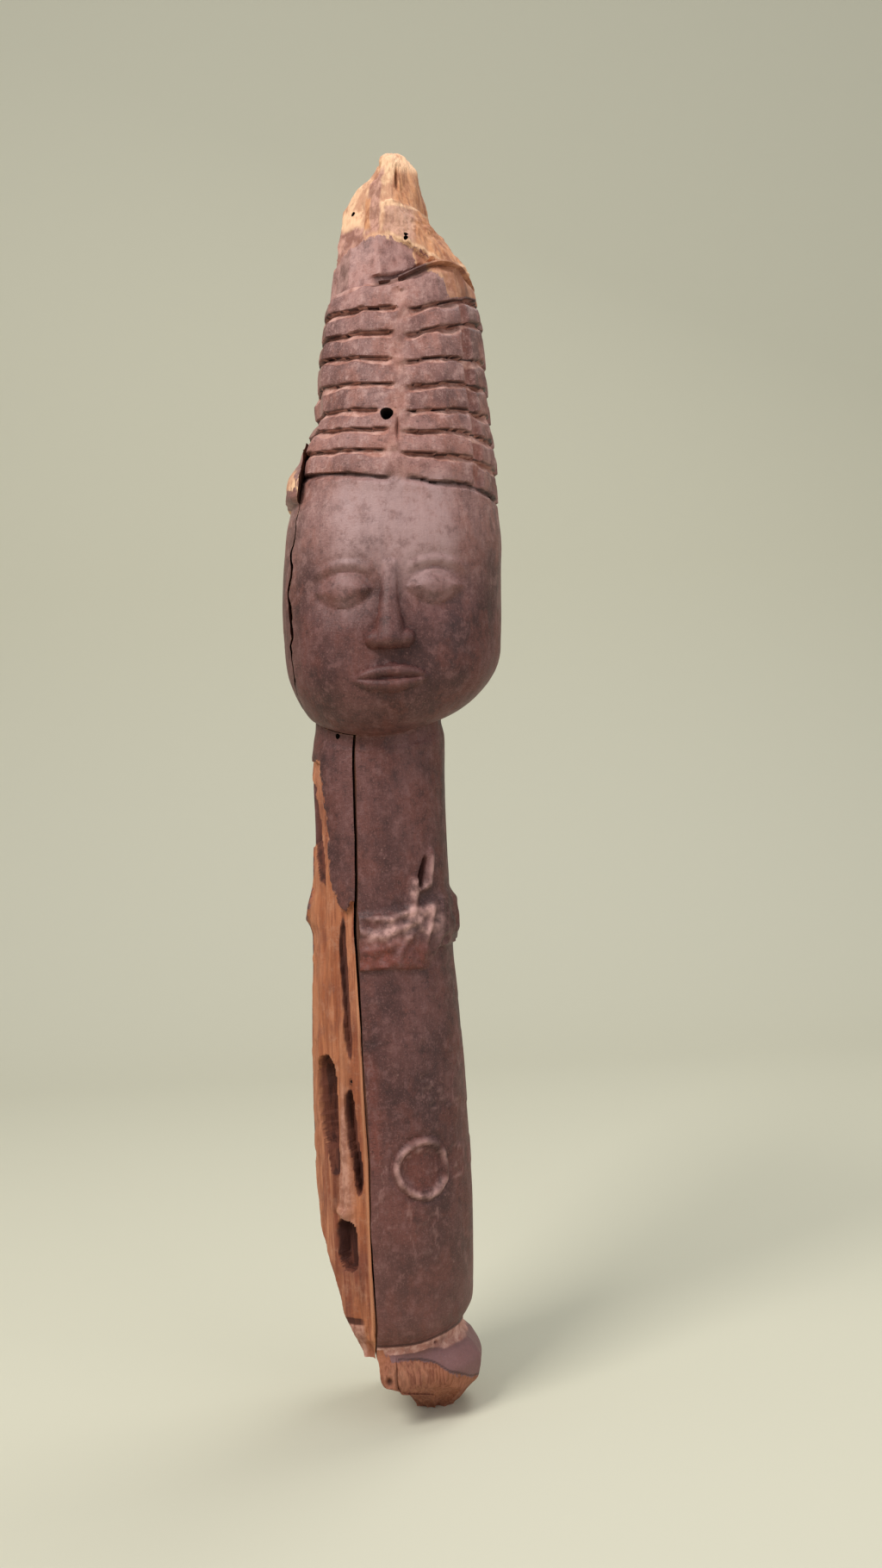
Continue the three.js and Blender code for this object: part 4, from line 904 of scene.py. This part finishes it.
# Meshes: the columns round a piece and how they crowd to its front, the slabs that saw the pieces apart, and
# a bore's rings as shares of its depth and of its radius
COLUMNS, STAVE_COLUMNS, CROWDING = 330, 300, 0.34
SLAB_REACH, SLAB_STEP, SLAB_LEFT = 45.0, 0.8, -70.0
HOLE_RINGS = ((-0.4, 1.05), (0, 1), (0.6, 0.92), (0.9, 0.7))
HOLE_SIDES = 20
FAR_IN_FRONT = 90


def grid_levels(*stations):
    """Levels through stations (level, step): each step is used up to the next station."""
    levels = []
    for (low, step), (high, _) in zip(stations, stations[1:]):
        count = max(1, round((high - low) / step))
        levels += list(np.linspace(low, high, count, endpoint=False))
    return np.array(levels + [stations[-1][0]])


def mesh_from(name, points, faces, marks=None):
    mesh = bpy.data.meshes.new(name)
    mesh.from_pydata(points.tolist(), [], faces)
    for mark, values in (marks or {}).items():
        on_faces = mark == "cut"
        layer = mesh.attributes.new(mark, "FLOAT", "FACE" if on_faces else "POINT")
        values = np.full(len(mesh.polygons), values[0]) if on_faces else values
        layer.data.foreach_set("value", np.asarray(values, np.float32))
    piece = bpy.data.objects.new(name, mesh)
    bpy.context.scene.collection.objects.link(piece)
    return piece


def quads(a, b, c, d):
    return np.stack([a, b, c, d], -1).reshape(-1, 4).tolist()


def tube_mesh(name, rings, ends, marks):
    """A surface through rings of points, closed by a fan to one point at each end."""
    index = np.arange(rings[..., 0].size).reshape(rings.shape[:2])
    beside = np.roll(index, -1, axis=1)
    faces = quads(index[:-1], beside[:-1], beside[1:], index[1:])
    faces += [[index.size, after, one] for one, after in zip(index[0], beside[0])]
    faces += [[index.size + 1, one, after] for one, after in zip(index[-1], beside[-1])]
    return mesh_from(name, np.concatenate([rings.reshape(-1, 3), ends]) * UNIT, faces, marks)


def log_mesh(name, levels, columns, crowding, **kind):
    """The log between its first and last level."""
    u = np.arange(columns) / columns - 0.5
    turns = 2 * np.pi * u - crowding * np.sin(2 * np.pi * u)
    px, py, z, marks = carve(*np.meshgrid(levels, turns, indexing="ij"), **kind)
    rings = np.stack([px, py, z], -1)
    marks = {mark: np.append(on, [on[0, 0], on[-1, -1]]) for mark, on in marks.items()}
    return tube_mesh(name, rings, [rings[0].mean(0), rings[-1].mean(0)], marks)


def slab_mesh(name, face_x, low, high):
    """Everything left of an uneven face X = face_x(Y, Z), between two heights that may depend on Y."""
    ys = np.linspace(-SLAB_REACH, SLAB_REACH, round(2 * SLAB_REACH / SLAB_STEP) + 1)
    low, high = [edge(ys) if callable(edge) else edge + 0 * ys for edge in (low, high)]
    rows = round((np.max(high) - np.min(low)) / SLAB_STEP) + 1
    y, share = np.meshgrid(ys, np.linspace(0, 1, rows), indexing="ij")
    z = mix(low[:, None], high[:, None], share)
    near = np.stack([face_x(y, z), y, z], -1)
    away = np.stack([0 * y + SLAB_LEFT, y, z], -1)
    a = np.arange(y.size).reshape(y.shape)
    b = a + y.size
    faces = [
        *quads(a[:-1, :-1], a[1:, :-1], a[1:, 1:], a[:-1, 1:]),
        *quads(b[:-1, :-1], b[:-1, 1:], b[1:, 1:], b[1:, :-1]),
        *quads(a[:-1, 0], b[:-1, 0], b[1:, 0], a[1:, 0]),
        *quads(a[:-1, -1], a[1:, -1], b[1:, -1], b[:-1, -1]),
        *quads(a[0, :-1], a[0, 1:], b[0, 1:], b[0, :-1]),
        *quads(a[-1, :-1], b[-1, :-1], b[-1, 1:], a[-1, 1:]),
    ]
    marks = blank_marks(2 * y.size) | {"cut": [SAWN]}
    return mesh_from(name, np.concatenate([near.reshape(-1, 3), away.reshape(-1, 3)]) * UNIT, faces, marks)


def hole_mesh(name, mouth, inward, radius, depth):
    """A bore that narrows a little and ends round, square to the surface."""
    inward = inward.normalized()
    side = inward.orthogonal().normalized()
    other = inward.cross(side)

    def on_rim(along, share, angle):
        out = (side * math.cos(angle) + other * math.sin(angle)) * radius * share
        return mouth + inward * along + out * (1 + 0.06 * math.sin(3 * angle + along))

    angles = [2 * math.pi * i / HOLE_SIDES for i in range(HOLE_SIDES)]
    rings = np.array([[on_rim(at * depth, share, angle) for angle in angles] for at, share in HOLE_RINGS])
    ends = [mouth + inward * depth * HOLE_RINGS[0][0], mouth + inward * depth]
    return tube_mesh(name, rings, ends, blank_marks(rings[..., 0].size + 2) | {"cut": [BORED]})


def joined(piece, other, operation):
    """Join or cut the piece with another, which is then thrown away."""
    change = piece.modifiers.new("cut", "BOOLEAN")
    change.operation = operation
    change.solver = "MANIFOLD"
    change.object = other
    ready = piece.evaluated_get(bpy.context.evaluated_depsgraph_get())
    mesh = bpy.data.meshes.new_from_object(ready)
    piece.modifiers.remove(change)
    piece.data = mesh
    bpy.data.objects.remove(other)


def under_head(y):
    """The height of the neck's top under the head, for each depth."""
    cosine = np.clip(-y / (SHAFT_WIDTH * 0.4), -1, 1)
    return JAW - CHIN_DROP * ((1 + cosine) / 2) ** 1.5


def split_face(y, z):
    lumps = noise_at(0 * y, y, z)
    wave = 0.35 * lumps(5, 61, 0.35) + 0.22 * lumps(1.8, 62, 0.2)
    return split_x(z) - SPLIT_SLANT * (y + SHAFT_RADIUS) + wave


def split_gap(z):
    share = (z - FOOT_HEIGHT) / SHAFT_LENGTH
    return SPLIT_GAP + SPLIT_OPEN * plateau(share, 0.64, 0.95, 0.17) + 0.2 * bell(share - 0.13, 0.08)


def splinter_face(y, z):
    lumps = noise_at(0 * y, y, z)
    wave = 0.7 * lumps(6, 63) + 0.45 * lumps(2.2, 64)
    return splinter_x(z) + SPLINTER_SLANT * y + wave


def splinter_gap(z):
    return SPLINTER_GAP + SPLINTER_OPEN * bell(z - 255, 32)


def splinter_top(y):
    return SPLINTER_CREST + 7.2 * bell(y + 16, 14) + 1.1 * noise(0 * y, y, 0 * y, 4, 65)


def mouth_at(piece, x, z):
    """Where a look from the front meets the piece."""
    _, place, normal, _ = piece.ray_cast(Vector((x, -FAR_IN_FRONT, z)) * UNIT, Vector((0, 1, 0)))
    return place / UNIT, normal


log = log_mesh("wand_log", grid_levels(
    (0, 0.5), (27, 0.8), (138, 0.55), (176, 0.8), (NECK - 3, 0.55), (JAW, 0.22), (JAW + 4, 0.45),
    (JAW + JAW_ROUND, 0.6), (HAIR, 0.45), (TIP, 1),
), COLUMNS, CROWDING)
joined(log, slab_mesh("cut_a", split_face, -9, under_head), "DIFFERENCE")
joined(log, slab_mesh("cut_b", splinter_face, NECK + 1, SPLINTER_TOP), "DIFFERENCE")

stave_levels = grid_levels((21.6, 0.45), (210, 0.5), (JAW, 1))
stave = log_mesh("wand_stave", stave_levels, STAVE_COLUMNS, 0.0, is_stave=True)
joined(stave, slab_mesh(
    "cut_c", lambda y, z: split_face(y, z) - split_gap(z), 10, lambda y: under_head(y) - 0.4), "INTERSECT")

splinter_levels = grid_levels((JAW - 0.5, 0.3), (JAW + 5, 0.5), (SPLINTER_TOP + 9, 1))
splinter = log_mesh("wand_splinter", splinter_levels, COLUMNS, CROWDING, is_splinter=True)
joined(splinter, slab_mesh(
    "cut_d", lambda y, z: splinter_face(y, z) - splinter_gap(z), NECK + 1, splinter_top,
), "INTERSECT")

for piece, holes in ((log, HOLES), (stave, STAVE_HOLES)):
    for number, ((x, z), radius, depth) in enumerate(holes):
        place, normal = mouth_at(piece, x, z)
        joined(piece, hole_mesh(f"bore_{number}", place, -normal, radius, depth), "DIFFERENCE")


# Materials
DULL_ROUGHNESS = 0.8
BUMP_HEIGHT = 0.4


def linear(red, green, blue):
    """A colour as a camera writes it, from 0 to 255, in the numbers that light is reckoned in."""
    def one(value):
        share = value / 255
        return share / 12.92 if share <= 0.04045 else ((share + 0.055) / 1.055) ** 2.4
    return (one(red), one(green), one(blue), 1)


class Nodes:
    """A material's nodes, with a short way to add one and wire it."""

    def __init__(self, name):
        self.material = bpy.data.materials.new(name)
        self.material.use_nodes = True
        self.tree = self.material.node_tree
        self.shader = self.tree.nodes["Principled BSDF"]

    def put(self, target, value):
        """Wire a socket to a value, or set it, a colour as a camera writes it."""
        if isinstance(value, bpy.types.NodeSocket):
            self.tree.links.new(value, target)
        else:
            target.default_value = linear(*value) if target.type == "RGBA" else value

    def add(self, kind, inputs=None, output=0, **settings):
        node = self.tree.nodes.new(kind)
        for key, value in settings.items():
            setattr(node, key, value)
        for key, value in (inputs or {}).items():
            self.put(node.inputs[key], value)
        return node.outputs[output]

    def mark(self, name):
        return self.add("ShaderNodeAttribute", output="Fac", attribute_name=name)

    def sums(self, operation, a, b, clamp=False):
        return self.add("ShaderNodeMath", {0: a, 1: b}, operation=operation, use_clamp=clamp)

    def plus(self, a, b):
        return self.sums("ADD", a, b)

    def times(self, a, b):
        return self.sums("MULTIPLY", a, b)

    def most(self, a, b):
        return self.sums("MAXIMUM", a, b)

    def blend(self, share, a, b):
        return self.add("ShaderNodeMix", {0: share, 6: a, 7: b}, output=2, data_type="RGBA")

    def layered(self, colour, *layers):
        """A colour with others laid over it in turn: (share, colour), or (grain, from, to, share, colour)."""
        for *share, over in layers:
            share = share[0] if len(share) == 1 else self.between(*share[:3], 0, share[3])
            colour = self.blend(share, colour, over)
        return colour

    def between(self, value, low, high, to_low=0.0, to_high=1.0):
        return self.add(
            "ShaderNodeMapRange", {0: value, 1: low, 2: high, 3: to_low, 4: to_high}, clamp=True,
            interpolation_type="SMOOTHSTEP",
        )

    def grain(self, size, stretch, detail, roughness=0.55, shift=0.0):
        """Noise with lumps about size millimetres wide, stretched along the wand."""
        place = self.add("ShaderNodeTexCoord", output="Object")
        scale = 1 / (size * UNIT)
        moved, scaled = (shift, shift * 0.7, shift * 1.3), (scale, scale, scale / stretch)
        spread = self.add("ShaderNodeMapping", {0: place, 1: moved, 3: scaled})
        return self.add(
            "ShaderNodeTexNoise", {"Vector": spread, "Scale": 1.0, "Detail": detail, "Roughness": roughness})


def wood_material(name):
    """Old wood: worn stain, bare wood where it is gone, pale wood where it has broken, dusty grooves; over
    them painted shade and painted highlights.
    """
    n = Nodes(name)
    broad = n.grain(24, 1.6, 4)
    patches = n.grain(9, 1.6, 6, 0.65, 3)
    fibre = n.grain(0.8, 16, 4, 0.6, 5)
    strands = n.grain(2.6, 14, 4, 0.6, 6)
    fine = n.grain(0.45, 1.4, 3, 0.6, 7)
    mottle = n.grain(3.6, 1.1, 9, 0.72, 8)
    speck = n.grain(1.1, 1.2, 2, 0.5, 9)
    frayed = n.between(n.grain(1.3, 2.5, 4, 0.6, 11), 0.2, 0.8, -1.1, 1.1)
    wrinkle = n.grain(1.5, 0.3, 4, 0.65, 13)
    place = n.add("ShaderNodeTexCoord", output="Object")
    across, height = [n.add("ShaderNodeSeparateXYZ", {0: place}, output=axis) for axis in "XZ"]

    def rise(low, high, *shares, of=height):
        """From one share to another between two places along the wand, in millimetres."""
        return n.between(of, low * UNIT, high * UNIT, *shares)

    near_face = rise(HAIR - 48, HAIR + 10)

    # Colours that go from darker on the shaft to lighter on the head
    def shaft_to_head(on_shaft, on_head):
        return n.blend(near_face, on_shaft, on_head)

    bare = n.between(n.plus(n.mark("bare"), frayed), -0.25, 0.25)
    cut = n.between(n.mark("cut"), 0.2, 0.6)
    # Painted shade inside the beetle bores
    bore_shade = n.between(n.mark("cut"), 1.2, 1.8)
    bare = n.most(bare, cut)
    torn = n.between(n.plus(n.mark("torn"), n.times(frayed, 1.5)), -0.3, 0.3)
    # Painted shade in the stave's deeper hollows
    pit_shade = n.between(n.mark("pit_shade"), 0.02, 0.36, 0, 0.92)
    shade = n.between(n.mark("shade"), 0.15, 0.9, 0, 0.88)
    warm = n.times(n.mark("warm"), n.between(patches, 0.3, 0.6, 0.4, 0.8))
    # Lightening from rubbing, and painted highlights on the collar's raised tops, the ring's lower left and
    # the stave's raised parts
    rubbed_and_highlight = n.sums("MULTIPLY", n.mark("rubbed_and_highlight"), n.between(mottle, 0.36, 0.56, 0.35, 1.0), clamp=True)
    # Dusty ledges and shoulder; on the hair's ledges also a painted highlight
    dust_and_highlight = n.times(n.between(n.mark("dust_and_highlight"), 0.1, 0.75), n.between(patches, 0.25, 0.6, 0.6, 0.95))
    dust_and_highlight = n.most(dust_and_highlight, n.times(n.mark("parting"), n.between(patches, 0.3, 0.6, 0.2, 0.6)))

    uneven_height = n.plus(height, n.times(n.sums("SUBTRACT", broad, 0.5), 60 * UNIT))
    # Painted sheen: a lighter patch over the middle of the brow and forehead
    brow = n.times(rise(HAIR - 40, HAIR - 14, of=uneven_height), rise(HAIR + 3, HAIR - 3))
    aside = n.sums("ABSOLUTE", n.sums("SUBTRACT", across, 3 * UNIT), 0.0)
    brow = n.times(n.times(brow, rise(21, 14, 0.15, 1, of=aside)), n.between(mottle, 0.36, 0.54, 0.4, 0.8))
    block = n.times(rise(341, 354), n.between(mottle, 0.36, 0.58, 0.1, 0.55))
    stain = n.layered(
        shaft_to_head((70, 42, 40), (108, 72, 67)),
        (n.between(broad, 0.4, 0.6), shaft_to_head((100, 62, 58), (156, 113, 106))),
        (patches, 0.47, 0.6, 0.55, shaft_to_head((106, 60, 52), (158, 104, 90))),
        (warm, (124, 64, 53)),
        (mottle, 0.5, 0.64, 0.6, shaft_to_head((122, 84, 81), (184, 144, 136))),
        (mottle, 0.48, 0.36, 0.55, shaft_to_head((52, 31, 30), (104, 68, 62))),
        (wrinkle, 0.45, 0.36, 0.4, (52, 30, 28)),
        (fibre, 0.42, 0.75, 0.22, (56, 33, 31)),
        (fine, 0.55, 0.66, 0.35, shaft_to_head((138, 98, 92), (188, 148, 138))),
        (speck, 0.7, 0.78, 0.4, (158, 120, 110)),
        # Painted sheen on the forehead
        (brow, (173, 141, 139)),
        (block, (190, 146, 138)),
        (rise(90, 30, 0, 0.25), (130, 86, 76)),
        (rise(25, 22, 0, 0.5), (132, 96, 98)),
        # Lighter where worn by rubbing and where a highlight is painted
        (rubbed_and_highlight, (188, 144, 136)),
    )
    rosy = n.blend(n.between(mottle, 0.4, 0.6), (140, 96, 84), (196, 148, 132))
    raw = n.layered(
        n.blend(n.between(strands, 0.38, 0.62), (134, 74, 54), (184, 122, 90)),
        (broad, 0.4, 0.6, 0.55, (176, 104, 64)),
        (fibre, 0.38, 0.7, 0.5, (98, 50, 36)),
        (mottle, 0.5, 0.66, 0.35, (186, 138, 112)),
        (patches, 0.48, 0.38, 0.35, (112, 66, 56)),
        # Painted highlight on the eaten stave's raised parts
        (n.times(n.mark("rubbed_and_highlight"), 0.75), (192, 130, 94)),
        (rise(28, 20, 0, 0.55), n.blend(n.between(fibre, 0.4, 0.6), (84, 48, 40), (160, 106, 84))),
        (n.times(n.mark("pink"), 0.7), rosy),
    )
    tawny = n.layered(
        n.blend(n.between(strands, 0.38, 0.6), (142, 84, 56), (196, 134, 92)),
        (mottle, 0.5, 0.66, 0.6, (214, 160, 122)),
    )
    pale = n.layered(
        n.blend(n.between(patches, 0.4, 0.54), (196, 146, 116), (234, 190, 152)),
        (mottle, 0.56, 0.68, 0.6, (150, 104, 84)),
        (n.mark("tawny"), tawny),
        (n.mark("pink"), rosy),
        (fibre, 0.4, 0.7, 0.3, (160, 108, 80)),
    )
    n.put(n.shader.inputs["Base Color"], n.layered(
        stain,
        (dust_and_highlight, n.blend(n.between(mottle, 0.38, 0.62), (164, 112, 98), (206, 160, 146))),
        (bare, raw),
        # Painted shade: the split faces, lying inside the crack, are darkened over their bare wood
        (n.times(cut, 0.8), (50, 28, 23)),
        (torn, pale),
        # Painted shade in the hollows
        (pit_shade, n.blend(n.between(strands, 0.4, 0.6), (56, 26, 22), (100, 52, 40))),
        (shade, (44, 26, 24)),
        # Painted shade inside the bores
        (bore_shade, (30, 16, 13)),
    ))
    n.shader.inputs["Specular IOR Level"].default_value = 0.3
    dull = n.most(n.most(bare, torn), dust_and_highlight)
    shine = n.between(patches, 0.3, 0.7, 0.42, 0.58)
    shine = n.add("ShaderNodeMix", {0: dull, 2: shine, 3: DULL_ROUGHNESS}, data_type="FLOAT")
    n.put(n.shader.inputs["Roughness"], shine)
    bumps = n.plus(n.times(fibre, 0.6), n.times(fine, 0.4))
    bumps = n.plus(bumps, n.plus(n.times(mottle, 0.8), n.times(wrinkle, 0.5)))
    n.put(n.shader.inputs["Normal"], n.add(
        "ShaderNodeBump", {"Strength": 0.6, "Distance": BUMP_HEIGHT * UNIT, "Height": bumps}))
    return n.material


wood = wood_material("old_wood")
for piece, node, slot in (
    (log, "carved_log", "patina"),
    (stave, "shaft_stave", "bare_wood"),
    (splinter, "head_splinter", "patina"),
):
    piece.data.materials.clear()
    piece.data.materials.append(wood)
    piece.data.polygons.foreach_set("use_smooth", np.ones(len(piece.data.polygons), bool))
    piece.data.set_sharp_from_angle(angle=math.radians(50))
    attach(piece, "root")
    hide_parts(node)

# Camera, floor and light: the camera stands level with the wand's middle and is rolled against its lean
ROLL = math.radians(3.2)
CAMERA_X, CAMERA_AWAY, CAMERA_Z = 12.94, 470.0, 197.03
VIEW_HEIGHT = 500.5
CAMERA = Vector((CAMERA_X, -CAMERA_AWAY, CAMERA_Z)) * UNIT


def looking(place, target, up):
    back = (Vector(place) - Vector(target)).normalized()
    right = Vector(up).cross(back).normalized()
    matrix = Matrix((right, back.cross(right), back)).transposed().to_4x4()
    matrix.translation = place
    return matrix


camera = bpy.data.objects.new("camera", bpy.data.cameras.new("camera"))
bpy.context.scene.collection.objects.link(camera)
camera.matrix_world = looking(CAMERA, (CAMERA.x, 0, CAMERA.z), (math.sin(ROLL), 0, math.cos(ROLL)))
camera.data.sensor_fit = "VERTICAL"
camera.data.sensor_height = 36
camera.data.lens = camera.data.sensor_height * CAMERA_AWAY / VIEW_HEIGHT
camera.data.clip_start = 0.01
bpy.context.scene.camera = camera


def backdrop():
    """A seamless sheet: a floor that curves up into a wall."""
    width, front, wall, bend, height = 4.0, -2.5, 0.95, 0.4, 3.2
    profile = [(front, 0.0), (wall - bend, 0.0)]
    for step in range(1, 13):
        angle = math.pi / 2 * step / 12
        profile.append((wall - bend + bend * math.sin(angle), bend - bend * math.cos(angle)))
    profile.append((wall, height))
    points = np.array([(side * width, y, z) for y, z in profile for side in (-1, 1)])
    faces = [[2 * i, 2 * i + 1, 2 * i + 3, 2 * i + 2] for i in range(len(profile) - 1)]
    sheet = mesh_from("floor", points, faces)
    sheet.data.polygons.foreach_set("use_smooth", np.ones(len(faces), bool))
    n = Nodes("pale_sheet")
    n.put(n.shader.inputs["Base Color"], (204, 200, 180))
    n.shader.inputs["Roughness"].default_value = 0.9
    sheet.data.materials.append(n.material)


backdrop()


def lamp(name, place, target, size, power, colour=(1, 1, 1)):
    light = bpy.data.lights.new(name, "AREA")
    light.energy, light.size, light.color = power, size, colour
    body = bpy.data.objects.new(name, light)
    bpy.context.scene.collection.objects.link(body)
    body.matrix_world = looking(Vector(place), target, (0, 0, 1))
    body.visible_camera = False


lamp("key", (-0.5, -0.62, 1.05), (0, 0, 0.22), 0.45, 11, (1, 0.98, 0.95))
lamp("fill", (0.8, -0.7, 0.45), (0, 0, 0.2), 0.8, 2.6, (0.95, 0.97, 1))
lamp("rim", (0.3, 0.25, 0.9), (0, 0, 0.25), 0.4, 2.5)
world = bpy.data.worlds.new("sky")
world.use_nodes = True
world.node_tree.nodes["Background"].inputs[0].default_value = (0.9, 0.95, 1, 1)
world.node_tree.nodes["Background"].inputs[1].default_value = 0.5
bpy.context.scene.world = world
bpy.context.scene.view_settings.view_transform = "Standard"
